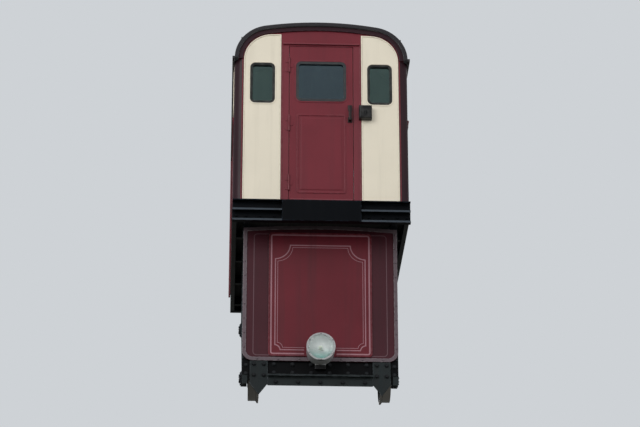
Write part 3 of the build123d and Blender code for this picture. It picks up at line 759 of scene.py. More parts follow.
def group(name: str, inputs: dict[str, float], outputs: Sequence[str]) -> tuple[Graph, dict, dict]:
    """Starts a shared effect as a node group.

    Args:
        name: The group's name.
        inputs: Each input's name and default.
        outputs: The outputs' names, all plain values.

    Returns:
        The graph, the inputs' sockets inside and the outputs' sockets inside.
    """
    tree = bpy.data.node_groups.new(name, "ShaderNodeTree")
    for label, value in inputs.items():
        socket = tree.interface.new_socket(label, in_out="INPUT", socket_type="NodeSocketFloat")
        socket.default_value = value
    for label in outputs:
        tree.interface.new_socket(label, in_out="OUTPUT", socket_type="NodeSocketFloat")
    entry, leave = tree.nodes.new("NodeGroupInput"), tree.nodes.new("NodeGroupOutput")
    given = {socket.name: socket for socket in entry.outputs if socket.name}
    wanted = {socket.name: socket for socket in leave.inputs if socket.name}
    return Graph(tree), given, wanted


def make_weathering() -> NodeTree:
    """Grime, dust and wear that most finishes share.

    Returns:
        The node group. Tone varies the colour, Grime and Wear are masks, Height is for bump.
    """
    graph, given, wanted = group(
        "weathering", {"Edge": 0.0, "Streaks": 0.5, "Dust": 0.3, "Chips": 0.3, "Ripple": 0.5},
        ("Tone", "Grime", "Wear", "Height"),
    )
    plain = graph.place()
    graph.feed(wanted["Tone"], graph.patches(plain, 1.7, 5.0, (0.25, 0.75)))
    runs = graph.patches(graph.place((16, 16, 0.9)), 1.0, 4.0, (0.50, 0.78))
    runs = graph.times(runs, given["Streaks"])
    normal = graph.split(graph.add("NewGeometry").outputs["Normal"])[2]
    settled = graph.between(normal, 0.35, 0.95)
    settled = graph.times(settled, graph.patches(plain, 6.0, 5.0, (0.30, 0.62)))
    settled = graph.times(settled, given["Dust"])
    low = graph.patches(plain, 11.0, 5.0, (0.56, 0.80))
    low = graph.times(low, graph.times(given["Dust"], 0.35))
    grime = graph.plus(graph.plus(runs, settled), low)
    graph.feed(wanted["Grime"], graph.between(grime, 0.0, 1.0))
    rubbed = graph.times(given["Edge"], graph.patches(plain, 24.0, 6.0, (0.44, 0.58)))
    specks = graph.times(graph.patches(plain, 70.0, 3.0, (0.735, 0.765)), given["Chips"])
    graph.feed(wanted["Wear"], graph.between(graph.plus(rubbed, specks), 0.0, 1.0))
    skin = graph.noise(plain, 260.0, 2.0)
    swell = graph.times(graph.noise(plain, 9.0, 2.0), 3.0)
    graph.feed(wanted["Height"], graph.times(graph.plus(skin, swell), given["Ripple"]))
    return graph.tree


def make_planks() -> NodeTree:
    """Boards side by side along Y, with grain.

    Returns:
        The node group. Tone differs from board to board, Grain runs along them, Gap is the joint between two.
    """
    graph, given, wanted = group("planks", {"Width": 0.12, "Joint": 0.04}, ("Tone", "Grain", "Gap"))
    x, y, z = graph.split(graph.place())
    across = graph.maths("DIVIDE", graph.plus(x, 50.0), given["Width"])
    number = graph.maths("FLOOR", across)
    share = graph.maths("FRACT", across)
    chance = graph.fill(graph.add("TexWhiteNoise", noise_dimensions="1D"), {"W": number})
    graph.feed(wanted["Tone"], chance.outputs["Value"])
    near = graph.maths("ABSOLUTE", graph.minus(share, 0.5))
    edge = graph.minus(0.5, given["Joint"])
    graph.feed(wanted["Gap"], graph.maths("GREATER_THAN", near, edge))
    spot = graph.add("CombineXYZ")
    graph.feed(spot.inputs[0], graph.times(x, 60.0))
    graph.feed(spot.inputs[1], graph.plus(graph.times(y, 3.0), graph.times(number, 7.3)))
    graph.feed(spot.inputs[2], graph.times(z, 60.0))
    graph.feed(wanted["Grain"], graph.patches(spot.outputs[0], 1.0, 6.0, (0.3, 0.7)))
    return graph.tree


def make_seams() -> NodeTree:
    """Standing seams across a sheet roof, evenly along Y.

    Returns:
        The node group. Shade is a mask of the dirt beside each seam, Rise is the seam for bump.
    """
    graph, given, wanted = group("seams", {"Pitch": 0.6, "Reach": 0.03}, ("Shade", "Rise"))
    along = graph.split(graph.place())[1]
    share = graph.maths("FRACT", graph.maths("DIVIDE", graph.plus(along, 50.0), given["Pitch"]))
    near = graph.maths("ABSOLUTE", graph.minus(share, 0.5))
    dirt = graph.minus(1.0, graph.maths("DIVIDE", near, given["Reach"]))
    patches = graph.patches(graph.place(), 5.0, 4.0, (0.2, 0.7))
    graph.feed(wanted["Shade"], graph.times(graph.between(dirt, 0.0, 1.4), patches))
    ridge = graph.minus(1.0, graph.maths("DIVIDE", near, 0.012))
    graph.feed(wanted["Rise"], graph.times(graph.between(ridge, 0.0, 0.6), 14.0))
    return graph.tree


WEATHERING = make_weathering()
SEAMS = make_seams()
PLANKS = make_planks()


@dataclass(frozen=True)
class Finish:
    """A surface finish: builds its material once and hands it out by name."""

    name: str
    slot: str
    colour: Colour
    roughness: float = 0.4

    def material(self) -> Material:
        """The material, made on first use."""
        return bpy.data.materials.get(self.name) or self.build()

    def start(self) -> tuple[Material, Graph, Node]:
        """An empty material.

        Returns:
            The material, its graph and its Principled shader.
        """
        material = bpy.data.materials.new(self.name)
        material.use_nodes = True
        material.diffuse_color = self.colour
        graph = Graph(material.node_tree)
        shader = material.node_tree.nodes["Principled BSDF"]
        graph.fill(shader, {"Base Color": self.colour, "Roughness": self.roughness})
        return material, graph, shader

    def build(self) -> Material:
        """Makes the material."""
        raise NotImplementedError

    def effect(self, graph: Graph, tree: NodeTree, **values: object) -> Node:
        """Places a shared effect with this finish's own values."""
        return graph.fill(graph.add("Group", node_tree=tree), values)

    def bump(self, graph: Graph, shader: Node, height: object, strength: float, depth: float) -> None:
        """Feeds a height to the shader's normal."""
        node = graph.fill(graph.add("Bump"), {"Strength": strength, "Distance": depth, "Height": height})
        graph.feed(shader.inputs["Normal"], node.outputs[0])


FAR = 9.0


@dataclass(frozen=True)
class Zone:
    """A block of space in which, or outside which, a paint takes another colour."""

    colour: Colour
    x: Span = (-FAR, FAR)
    y: Span = (-FAR, FAR)
    z: Span = (-FAR, FAR)
    outside: bool = False
    soft: float = 0.0

    def share(self, graph: Graph) -> NodeSocket:
        """Where the zone's colour holds.

        Args:
            graph: The material's graph.

        Returns:
            1 where it holds, else 0.
        """
        within = None
        for part, span in zip(graph.split(graph.place()), (self.x, self.y, self.z)):
            reach = graph.maths("ABSOLUTE", graph.minus(part, mid(span)))
            half = (span[1] - span[0]) / 2
            if self.soft:
                near = graph.between(reach, half + self.soft, half - self.soft)
            else:
                near = graph.maths("LESS_THAN", reach, half)
            within = near if within is None else graph.times(within, near)
        return graph.minus(1.0, within) if self.outside else within


@dataclass(frozen=True)
class Paint(Finish):
    """Coach or frame paint with grime in runs, settled dust and rubbed edges."""

    coat: float = 0.25
    coat_roughness: float = 0.15
    contrast: float = 0.12
    streaks: float = 0.35
    dust: float = 0.3
    chips: float = 0.3
    grime: Colour = (0.030, 0.027, 0.024, 1.0)
    bare: Colour = (0.16, 0.14, 0.13, 1.0)
    ripple: float = 0.5
    metal: float = 0.0
    gloss: float = 0.5
    seams: float = 0.0
    zone: Zone | None = None

    def build(self) -> Material:
        """Makes the material.

        Returns:
            The material.
        """
        material, graph, shader = self.start()
        edge = graph.add("Attribute", attribute_name="edge").outputs["Fac"]
        worn = self.effect(
            graph, WEATHERING, Edge=edge, Streaks=self.streaks, Dust=self.dust, Chips=self.chips,
            Ripple=self.ripple,
        )
        dark, light = toned(self.colour, 1 - self.contrast), toned(self.colour, 1 + self.contrast)
        colour = graph.blend(worn.outputs["Tone"], dark, light)
        colour = graph.blend(worn.outputs["Grime"], colour, self.grime)
        colour = graph.blend(worn.outputs["Wear"], colour, self.bare)
        height = worn.outputs["Height"]
        if self.seams:
            seam = self.effect(graph, SEAMS, Pitch=self.seams)
            colour = graph.blend(seam.outputs["Shade"], colour, self.grime)
            height = graph.plus(height, seam.outputs["Rise"])
        if self.zone:
            colour = graph.blend(self.zone.share(graph), colour, self.zone.colour)
        rough = graph.times(worn.outputs["Grime"], 0.35)
        rough = graph.plus(rough, graph.times(worn.outputs["Wear"], 0.2))
        graph.fill(shader, {
            "Base Color": colour,
            "Roughness": graph.plus(rough, self.roughness),
            "Coat Weight": self.coat,
            "Coat Roughness": self.coat_roughness,
            "Metallic": self.metal,
            "Specular IOR Level": self.gloss,
        })
        self.bump(graph, shader, height, 0.25, 0.0006)
        return material


@dataclass(frozen=True)
class Steel(Finish):
    """Bare running steel: bright where it rolls or rubs, oily and brown elsewhere."""

    bright: Colour = (0.27, 0.26, 0.25, 1.0)
    rust: Colour = (0.075, 0.038, 0.022, 1.0)
    tread: Span = (0.246, 0.2495)
    axle: str = ""

    def build(self) -> Material:
        """Makes the material.

        Returns:
            The material.
        """
        material, graph, shader = self.start()
        edge = graph.add("Attribute", attribute_name="edge").outputs["Fac"]
        worn = self.effect(graph, WEATHERING, Edge=edge, Streaks=0.1, Dust=0.5, Chips=0.4, Ripple=1.0)
        parts = graph.split(graph.place())
        axle = Box.of(self.axle)
        along = graph.minus(parts[1], mid(axle.y))
        height = graph.minus(parts[2], mid(axle.z))
        square = graph.plus(graph.maths("POWER", along, 2.0), graph.maths("POWER", height, 2.0))
        rolled = graph.between(graph.maths("SQRT", square), *self.tread)
        rolled = graph.times(rolled, graph.between(worn.outputs["Tone"], -0.8, 0.6))
        colour = graph.blend(worn.outputs["Grime"], self.colour, self.rust)
        graph.fill(shader, {
            "Base Color": graph.blend(rolled, colour, self.bright),
            "Metallic": graph.times(graph.plus(rolled, 0.25), 0.8),
            "Roughness": graph.minus(self.roughness, graph.times(rolled, 0.3)),
        })
        self.bump(graph, shader, worn.outputs["Height"], 0.4, 0.001)
        return material


@dataclass(frozen=True)
class Chrome(Finish):
    """Polished tube and handles, with finger marks."""

    def build(self) -> Material:
        """Makes the material.

        Returns:
            The material.
        """
        material, graph, shader = self.start()
        marks = graph.patches(graph.place(), 35.0, 5.0, (0.4, 0.75))
        graph.fill(shader, {
            "Base Color": graph.blend(marks, self.colour, toned(self.colour, 0.72)),
            "Roughness": graph.plus(graph.times(marks, 0.22), self.roughness),
            "Metallic": 1.0,
        })
        self.bump(graph, shader, marks, 0.05, 0.0005)
        return material


@dataclass(frozen=True)
class Rubber(Finish):
    """Weathered rubber or matt plastic."""

    bloom: Colour = (0.060, 0.060, 0.058, 1.0)

    def build(self) -> Material:
        """Makes the material.

        Returns:
            The material.
        """
        material, graph, shader = self.start()
        spots = graph.patches(graph.place(), 14.0, 6.0, (0.45, 0.8))
        graph.fill(shader, {
            "Base Color": graph.blend(spots, self.colour, self.bloom),
            "Roughness": graph.plus(graph.times(spots, 0.2), self.roughness),
        })
        self.bump(graph, shader, graph.noise(graph.place(), 420.0, 2.0), 0.2, 0.0004)
        return material


@dataclass(frozen=True)
class Glass(Finish):
    """Tinted glass that lamps shine through, with a film of dust."""

    film: float = 0.05
    density: float = 1.5
    flutes: float = 0.0
    mirrored: Colour = (1.0, 1.0, 1.0, 1.0)

    def build(self) -> Material:
        """Makes the material.

        Returns:
            The material.
        """
        material, graph, shader = self.start()
        smear = graph.patches(graph.place((1, 1, 0.4)), 7.0, 6.0, (0.35, 0.8))
        graph.fill(shader, {
            "Base Color": graph.blend(smear, self.colour, toned(self.colour, 0.8)),
            "Roughness": graph.plus(graph.times(smear, self.film), self.roughness),
            "Transmission Weight": 1.0,
            "IOR": self.density,
            "Specular Tint": self.mirrored,
        })
        if self.flutes:
            across = graph.split(graph.place())[0]
            wave = graph.maths("SINE", graph.times(across, math.tau / self.flutes))
            self.bump(graph, shader, wave, 0.7, 0.0015)
        path = graph.add("LightPath")
        clear = graph.fill(graph.add("BsdfTransparent"), {"Color": self.colour})
        mix = graph.either(path.outputs["Is Shadow Ray"], shader, clear)
        graph.feed(material.node_tree.nodes["Material Output"].inputs["Surface"], mix)
        return material


@dataclass(frozen=True)
class Timber(Finish):
    """Boards along the car with grain, joints and a worn varnish or oil."""

    width: float = 0.12
    joint: float = 0.03
    coat: float = 0.2
    zone: Zone | None = None

    def build(self) -> Material:
        """Makes the material.

        Returns:
            The material.
        """
        material, graph, shader = self.start()
        boards = self.effect(graph, PLANKS, Width=self.width, Joint=self.joint)
        worn = self.effect(graph, WEATHERING, Streaks=0.0, Dust=0.5, Chips=0.0)
        dark, pale, black = (toned(self.colour, factor) for factor in (0.45, 1.35, 0.1))
        colour = graph.blend(boards.outputs["Grain"], dark, self.colour)
        colour = graph.blend(graph.times(boards.outputs["Tone"], 0.5), colour, pale)
        colour = graph.blend(graph.times(worn.outputs["Grime"], 0.6), colour, dark)
        colour = graph.blend(boards.outputs["Gap"], colour, black)
        if self.zone:
            colour = graph.blend(self.zone.share(graph), colour, self.zone.colour)
        rough = graph.times(boards.outputs["Grain"], 0.15)
        graph.fill(shader, {
            "Base Color": colour, "Roughness": graph.plus(rough, self.roughness), "Coat Weight": self.coat,
        })
        height = graph.minus(boards.outputs["Grain"], graph.times(boards.outputs["Gap"], 4.0))
        self.bump(graph, shader, height, 0.3, 0.001)
        return material


@dataclass(frozen=True)
class Opal(Finish):
    """A milky lamp cover."""

    yellowing: Point = (0.93, 0.9, 0.78)

    def build(self) -> Material:
        """Makes the material.

        Returns:
            The material.
        """
        material, graph, shader = self.start()
        yellowed = tuple(part * share for part, share in zip(self.colour[:3], self.yellowing)) + (1.0,)
        cloud = graph.patches(graph.place(), 8.0, 4.0, (0.3, 0.8))
        graph.fill(shader, {
            "Base Color": graph.blend(cloud, self.colour, yellowed), "Subsurface Weight": 0.2,
        })
        self.bump(graph, shader, graph.noise(graph.place(), 180.0, 2.0), 0.1, 0.0004)
        return material


CABIN = Box.of("floor_deck")
INSIDE = Zone(srgb(206, 200, 184), grown(CABIN.x, -0.0485), grown(CABIN.y, -0.0485), (CABIN.z[0] - 0.08, FAR))
# Near black on the deck's underside and its outer edge band: painted shade under the floor.
DECK_UNDERSIDE_SHADE = Zone(srgb(13, 13, 14), grown(CABIN.x, -0.049), grown(CABIN.y, -0.049),
                  (CABIN.z[0] + 0.005, FAR), outside=True)
# Dark grey on the roof's end faces: painted shade.
ROOF_END_SHADE = Zone(srgb(46, 44, 48), y=grown(Box.of("roof").y, -0.0025), outside=True)
LAMP_FOOT = Zone(srgb(20, 21, 24), z=(-FAR, Box.of("headlamp_shell").z[0] + 0.050))
# Greenish grey over the lower part of the headlamp reflector, darker towards the bottom: painted shade with a
# greenish painted reflection.
REFLECTOR_PAINTED_SHADE = Zone(srgb(140, 190, 184), z=(-FAR, Box.of("headlamp_lens").z[0] + 0.094), soft=0.06)
FRAME_BLACK = Paint("frame_black", "frame_steel", srgb(19, 23, 28), 0.48, coat=0.05, dust=0.22,
                    chips=0.25, grime=srgb(38, 35, 33), bare=srgb(66, 74, 82), contrast=0.2, gloss=0.3)
STOCK_BLACK = Paint("headstock_black", "frame_steel", srgb(8, 9, 12), 0.5, coat=0.0, dust=0.1,
                    chips=0.12, grime=srgb(16, 15, 15), bare=srgb(34, 36, 40), contrast=0.2, gloss=0.12)
GUARD_GREY = Paint("guard_grey", "frame_steel", srgb(32, 40, 42), 0.5, coat=0.0, dust=0.2,
                   grime=srgb(40, 38, 36), bare=srgb(74, 80, 84), contrast=0.2, gloss=0.25)
SILL_BLACK = Paint("sill_black", "frame_steel", srgb(5, 9, 15), 0.5, coat=0.0, dust=0.05,
                   chips=0.1, grime=srgb(13, 16, 20), bare=srgb(44, 54, 66), contrast=0.2, gloss=0.1)
# Blue-grey strips on the sill flanges: painted highlight of the lit flange edges, with some wear.
SILL_EDGE_HIGHLIGHT = Paint("sill_edge_highlight", "frame_steel", srgb(50, 62, 74), 0.5, coat=0.05, dust=0.2, chips=0.6,
                  grime=srgb(26, 30, 34), bare=srgb(96, 104, 112), contrast=0.2)
MAROON = Paint("maroon", "maroon_paint", srgb(118, 38, 50), 0.38, coat=0.12, dust=0.1, streaks=0.2,
               gloss=0.35, chips=0.1, grime=srgb(64, 30, 35), bare=srgb(132, 72, 80), zone=INSIDE)
# Darker maroon for the corner posts and roof rims: partly their own darker paint, partly painted shade of the
# roof overhang and of the posts turned away from the light.
MAROON_DARK_AND_SHADE = Paint("maroon_dark_and_shade", "maroon_paint", srgb(52, 28, 36), 0.42, coat=0.05, dust=0.1, streaks=0.2,
                    gloss=0.25, chips=0.15, grime=srgb(34, 24, 28), bare=srgb(84, 60, 66), zone=INSIDE)
# Lighter, pinker maroon for the door posts, doorway mouldings, weather bars and hinge caps: painted highlight
# where they catch the light.
MAROON_POST_HIGHLIGHT = Paint("maroon_post_highlight", "maroon_paint", srgb(120, 48, 58), 0.34, coat=0.15, dust=0.1, gloss=0.35,
                    streaks=0.2, chips=0.15, grime=srgb(66, 36, 40), bare=srgb(142, 86, 92), zone=INSIDE)
APRON_MAROON = Paint("apron_maroon", "maroon_paint", srgb(74, 30, 40), 0.4, coat=0.08, dust=0.12, gloss=0.3,
                     chips=0.12, grime=srgb(42, 28, 32), bare=srgb(112, 80, 86))
BOARD_MAROON = Paint("board_maroon", "board_paint", srgb(106, 30, 42), 0.36, coat=0.1, dust=0.1, gloss=0.35,
                     streaks=0.3, chips=0.08, grime=srgb(54, 28, 34), bare=srgb(132, 82, 90))
CREAM = Paint("cream", "cream_paint", srgb(235, 227, 208), 0.36, coat=0.3, dust=0.12, streaks=0.2,
              chips=0.04, grime=srgb(186, 178, 158), bare=srgb(216, 208, 190), contrast=0.04)
CREAM_INSIDE = Paint("cream_inside", "cream_paint", srgb(216, 211, 196), 0.45, coat=0.1, dust=0.1,
                     streaks=0.05, chips=0.05, grime=srgb(150, 142, 124), contrast=0.05)
GREY_TRIM = Paint("grey_edge_strip", "grey_trim", srgb(104, 90, 97), 0.4, coat=0.2, dust=0.15,
                  chips=0.4, grime=srgb(66, 56, 60), bare=srgb(146, 138, 142), metal=0.1)
LINING = Paint("lining", "board_paint", srgb(160, 112, 122), 0.4, coat=0.2, dust=0.05, streaks=0.4,
               grime=srgb(112, 60, 70), bare=srgb(94, 34, 45))
LINING_DIM = Paint("lining_dim", "board_paint", srgb(104, 72, 80), 0.4, coat=0.2, dust=0.05, streaks=0.5,
                   grime=srgb(78, 46, 54), bare=srgb(70, 33, 42))
LAMP_GREY = Paint("lamp_grey_paint", "lamp_grey", srgb(166, 168, 170), 0.4, coat=0.2, dust=0.2,
                  chips=0.2, grime=srgb(112, 112, 114), bare=srgb(204, 204, 202), zone=LAMP_FOOT)
ROOF_GREY = Paint("roof_grey", "roof_paint", srgb(96, 100, 104), 0.6, coat=0.0, dust=0.6,
                  streaks=0.2, chips=0.2, grime=srgb(66, 66, 62), bare=srgb(140, 140, 138),
                  gloss=0.3, seams=0.608, zone=ROOF_END_SHADE)
GUTTER_GREY = Paint("gutter_grey", "roof_paint", srgb(46, 44, 48), 0.5, coat=0.1,
                    streaks=0.2, grime=srgb(34, 33, 33), bare=srgb(96, 94, 96))
CASE_BLACK = Rubber("case_black_plastic", "case_black", srgb(17, 17, 19), 0.45)
GASKET = Rubber("window_rubber", "rubber", srgb(24, 28, 27), 0.6)
DOOR_GASKET = Rubber("door_rubber", "rubber", srgb(46, 50, 54), 0.6)
WINDOW = Glass("window_pane", "window_glass", srgb(206, 228, 220), 0.03, density=2.2,
               mirrored=srgb(216, 255, 252))
DOOR_WINDOW = Glass("door_pane", "window_glass", srgb(200, 218, 232), 0.03, density=2.2,
                    mirrored=srgb(212, 240, 255))
LENS = Glass("lens_glass", "lamp_glass", srgb(248, 251, 250), 0.22, film=0.1, flutes=0.011)
CHROME = Chrome("polished_tube", "pole_chrome", srgb(205, 205, 203), 0.14)
HANDLE = Chrome("handle_metal", "pole_chrome", srgb(84, 76, 76), 0.35)
# White reflector whose lower part takes a greenish grey: painted shade and painted reflection.
REFLECTOR = Paint("lamp_reflector", "lamp_grey", srgb(248, 248, 249), 0.2, coat=0.3, dust=0.0, streaks=0.0,
                  chips=0.0, contrast=0.03, zone=REFLECTOR_PAINTED_SHADE)
DECK = Timber("deck_boards", "deck_board", srgb(78, 60, 46), 0.6, width=0.15, coat=0.0, zone=DECK_UNDERSIDE_SHADE)
SLATS = Timber("bench_slats", "bench_wood", srgb(150, 98, 60), 0.35, width=0.5, joint=0.0, coat=0.4)
OPAL = Opal("opal_cover", "lamp_diffuser", srgb(232, 230, 222), 0.3)
LOWER_STEEL = Steel("lower_wheel_steel", "wheel_steel", srgb(44, 40, 38), 0.55, axle="lower_axle")
UPPER_STEEL = Steel("upper_wheel_steel", "wheel_steel", srgb(44, 40, 38), 0.55, axle="upper_axle")


# Dressing and fastening


def dress(piece: Object, finish: Finish, body: str = "car") -> Object:
    """Gives a finished piece its material and body.

    Args:
        piece: The piece.
        finish: Its finish.
        body: The CAD body that it rides on.

    Returns:
        The same piece.
    """
    only(piece)
    if piece.data.has_custom_normals:
        bpy.ops.mesh.customdata_custom_splitnormals_clear()
    finish_with(piece, "WEIGHTED_NORMAL", mode="FACE_AREA", weight=50, keep_sharp=True)
    piece.data.materials.clear()
    piece.data.materials.append(finish.material())
    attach(piece, body)
    log.info("%s: %d faces, on %s", piece.name, len(piece.data.polygons), body)
    return piece


def both_sides(name: str, piece: Object, finish: Finish, body: str = "car") -> Object:
    """Joins a right-hand piece with its mirror image and dresses the pair."""
    return dress(join(name, mirrored(piece)), finish, body)


def body_of(node: str) -> str:
    """The body that a CAD node rides on."""
    return next(body for body, empty in frame["bodies"].items() if frame["nodes"][node].parent == empty)


@dataclass(frozen=True)
class Rivet:
    """A snap-head rivet, modelled once and set at many places."""

    radius: float = 0.011
    sides: int = 12

    def at(self, name: str, places: Sequence[Matrix]) -> Object:
        """Sets one at each place.

        Args:
            name: The row's name.
            places: Where they stand.

        Returns:
            The row.
        """
        pattern = disc("rivet", self.radius, self.radius * 0.55, AT_ORIGIN, self.sides)
        with editing(pattern):
            pick_faces(pattern, looking(UP))
            bpy.ops.mesh.inset(thickness=self.radius * 0.45, depth=self.radius * 0.25)
        smooth(pattern, sharp=False)
        return repeat(name, pattern, places)


@dataclass(frozen=True)
class Bolt:
    """A hexagon head on a washer, modelled once and set at many places."""

    size: float = 1.0
    full_radius: float = 0.017

    def at(self, name: str, places: Sequence[Matrix]) -> Object:
        """Sets one at each place.

        Args:
            name: The row's name.
            places: Where they stand.

        Returns:
            The row.
        """
        radius = self.full_radius * self.size
        washer = disc("washer", radius * 1.25, radius * 0.18, AT_ORIGIN, 18)
        head = disc("head", radius, radius * 0.75, moved(0, 0, radius * 0.18), 6)
        with editing(head):
            pick_faces(head, looking(UP))
            bpy.ops.mesh.inset(thickness=radius * 0.14, depth=radius * 0.12)
            bpy.ops.mesh.inset(thickness=radius * 0.25, depth=0)
        return repeat(name, join("bolt", [washer, head]), places)


@dataclass
class SoftEdges:
    """CAD shapes copied, merged and given eased edges, each standing for its node."""

    finishes: dict[str, tuple[float, Finish]]
    merge: float = 2e-5
    flat: float = math.radians(0.6)
    wheels: Box = box_of("lower_wheels")
    journal_gap: float = 0.001
    journal_reach: float = 0.05
    journal_share: float = 0.978

    def build(self) -> None:
        """Makes every piece."""
        for node, (width, finish) in self.finishes.items():
            self.soften(node, width, finish)

    def soften(self, node: str, width: float, finish: Finish) -> None:
        """Makes one piece.

        Args:
            node: The CAD node.
            width: The bevel's width, or 0 to shade it smooth only.
            finish: The piece's finish.
        """
        piece = copy_of(frame["nodes"][node], f"{node}_dressed", AT_ORIGIN)
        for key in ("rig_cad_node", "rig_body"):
            if key in piece:
                del piece[key]
        piece.parent = None
        piece.data.materials.clear()
        with editing(piece, everything=True):
            bpy.ops.mesh.customdata_custom_splitnormals_clear()
            bpy.ops.mesh.remove_doubles(threshold=self.merge)
            bpy.ops.mesh.dissolve_limited(angle_limit=self.flat)
        if node.endswith("_axle"):
            self.slim_journals(piece, Box.of(node))
        if width:
            ease(piece, width)
        else:
            smooth(piece)
        dress(piece, finish, body_of(node))
        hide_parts(node)

    def slim_journals(self, piece: Object, box: Box) -> None:
        """Takes a hair off an axle's journals, so that their facets turn freely in the bores.

        Args:
            piece: The axle.
            box: Its node's box.
        """
        middle = Vector((0, mid(box.y), mid(box.z)))
        with editing(piece):
            pick_points(piece, lambda place: (
                abs(place.x) > self.wheels.x[1] + self.journal_gap
                and (place - middle).yz.length < self.journal_reach
            ))
            share = self.journal_share
            bpy.ops.transform.resize(value=(1, share, share), center_override=middle)


@dataclass
class Studio:
    """Floor, light and camera."""

    camera_place: Point = (-1.06, -25.525, -8.71)
    aim: Point = (0.0, -0.45, 2.13)
    lens: float = 133.0
    sight: float = 500.0
    floor_height: float = -8.9
    floor_size: float = 240.0
    floor_shades: tuple[Colour, Colour] = (srgb(206, 208, 210), srgb(212, 214, 216))
    floor_bounce: Colour = srgb(112, 112, 108)
    sky_shade: Colour = srgb(206, 210, 214)
    sky_strength: float = 0.84
    lamp_size: float = 9.0
    lamps: Sequence[tuple[str, Point, float]] = (
        ("key_lamp", (-9.5, -13.0, 8.0), 900.0),
        ("fill_lamp", (11.0, -13.0, 3.0), 340.0),
        ("back_lamp", (3.0, 15.0, 9.0), 420.0),
    )

    def build(self) -> None:
        """Sets up the floor, the sky, the lamps and the camera."""
        self.add_floor()
        self.add_sky()
        for name, place, power in self.lamps:
            self.add_lamp(name, place, power)
        self.add_camera()
        bpy.context.scene.view_settings.view_transform = "Standard"
        log.info("studio ready")

    def turn_from(self, place: Point) -> Euler:
        """The turn that points a lamp or the camera at the car."""
        return (Vector(self.aim) - Vector(place)).to_track_quat("-Z", "Y").to_euler()

    def add_floor(self) -> None:
        """A large pale floor at the camera's feet, which throws back less light than it shows."""
        deselect()
        bpy.ops.mesh.primitive_plane_add(size=self.floor_size, location=(0, 0, self.floor_height))
        floor = named("studio_floor")
        material = bpy.data.materials.new("studio_floor")
        material.use_nodes = True
        nodes = material.node_tree.nodes
        graph = Graph(material.node_tree)
        patches = graph.patches(graph.place(), 0.4, 3.0, (0.2, 0.8))
        shade = graph.blend(patches, *self.floor_shades)
        shown = graph.fill(nodes["Principled BSDF"], {"Base Color": shade, "Roughness": 0.8})
        bounce = graph.fill(graph.add("BsdfDiffuse"), {"Color": self.floor_bounce})
        seen = graph.add("LightPath").outputs["Is Camera Ray"]
        graph.feed(nodes["Material Output"].inputs["Surface"], graph.either(seen, bounce, shown))
        floor.data.materials.append(material)

    def add_sky(self) -> None:
        """An even overcast sky, the same grey behind the car; what it mirrors darkens towards the horizon."""
        world = bpy.data.worlds.new("studio_sky")
        world.use_nodes = True
        nodes = world.node_tree.nodes
        graph = Graph(world.node_tree)
        light = graph.fill(nodes["Background"], {"Color": (1.0,) * 4, "Strength": self.sky_strength})
        path = graph.add("LightPath")
        glossy = path.outputs["Is Glossy Ray"]
        direct = graph.maths("MAXIMUM", path.outputs["Is Camera Ray"], glossy)
        direct = graph.maths("MAXIMUM", direct, path.outputs["Is Transmission Ray"])
        height = graph.split(graph.add("TexCoord").outputs["Generated"])[2]
        climb = graph.maths("POWER", graph.between(height, -0.15, 1.0), 2.0)
        mirror = graph.plus(graph.times(climb, 1.4), 0.03)
        strength = graph.minus(1.0, graph.times(glossy, graph.minus(1.0, mirror)))
        seen = graph.fill(graph.add("Background"), {"Color": self.sky_shade, "Strength": strength})
        graph.feed(nodes["World Output"].inputs["Surface"], graph.either(direct, light, seen))
        bpy.context.scene.world = world

    def add_lamp(self, name: str, place: Point, power: float) -> None:
        """A large soft lamp aimed at the car.

        Args:
            name: The lamp's name.
            place: Where it hangs.
            power: Its power in watts.
        """
        deselect()
        bpy.ops.object.light_add(type="AREA", location=place, rotation=self.turn_from(place))
        lamp = bpy.context.active_object
        lamp.name = name
        lamp.data.size = self.lamp_size
        lamp.data.energy = power

    def add_camera(self) -> None:
        """The camera where the photographer stood, below the car."""
        deselect()
        bpy.ops.object.camera_add(location=self.camera_place, rotation=self.turn_from(self.camera_place))
        camera = bpy.context.active_object
        camera.name = "camera"
        camera.data.lens = self.lens
        camera.data.clip_end = self.sight
        bpy.context.scene.camera = camera


# The car


@dataclass
class Assembly:
    """A part of the car, worked out from the car's places."""

    layout: Layout

    def both_ends(self, piece: Object, finish: Finish, bodies: tuple[str, str] = ("car", "car")) -> None:
        """Dresses a downhill end's piece and puts its turned copy on the uphill end.

        Args:
            piece: The downhill piece, with its name saying what it is.
            finish: The finish of both.
            bodies: The bodies that they ride on.
        """
        name = piece.name
        twin = copy_of(piece, f"rear_{name}", self.layout.turned)
        piece.name = piece.data.name = f"front_{name}"
        dress(piece, finish, bodies[0])
        dress(twin, finish, bodies[1])


@dataclass
class Wall(Assembly):
    """What the end walls and the side walls share: their sheets' windows, as seen facing downhill."""

    sheet: float = 0.003
    trim_reach: float = 0.016
    trim_width: float = 0.015
    trim_proud: float = 0.005
    cut_start: float = 0.02

    def window_face(self, name: str, middle: float, width: float, y: float, grow: float = 0.0) -> Object:
        """A rounded face the size of a window.

        Args:
            name: The piece's name.
            middle: The window's middle.
            width: Its width.
            y: The face's place.
            grow: How much larger all round.

        Returns:
            A flat piece.
        """
        face = sheet_facing(name, around(middle, width / 2 + grow), y, grown(self.layout.window_z, grow))
        with editing(face, everything=True):
            round_corners(self.layout.window_corner + grow)
        return face

    def cut_window(self, sheet: Object, middle: float, width: float, y: float, depth: float) -> None:
        """Cuts a window out of a sheet.

        Args:
            sheet: The sheet.
            middle: The window's middle.
            width: Its width.
            y: The sheet's back.
            depth: How deep the cut is, from some way behind that.
        """
        cutter = self.window_face("cutter", middle, width, y + self.cut_start)
        thicken(cutter, depth)
        cut(sheet, cutter)


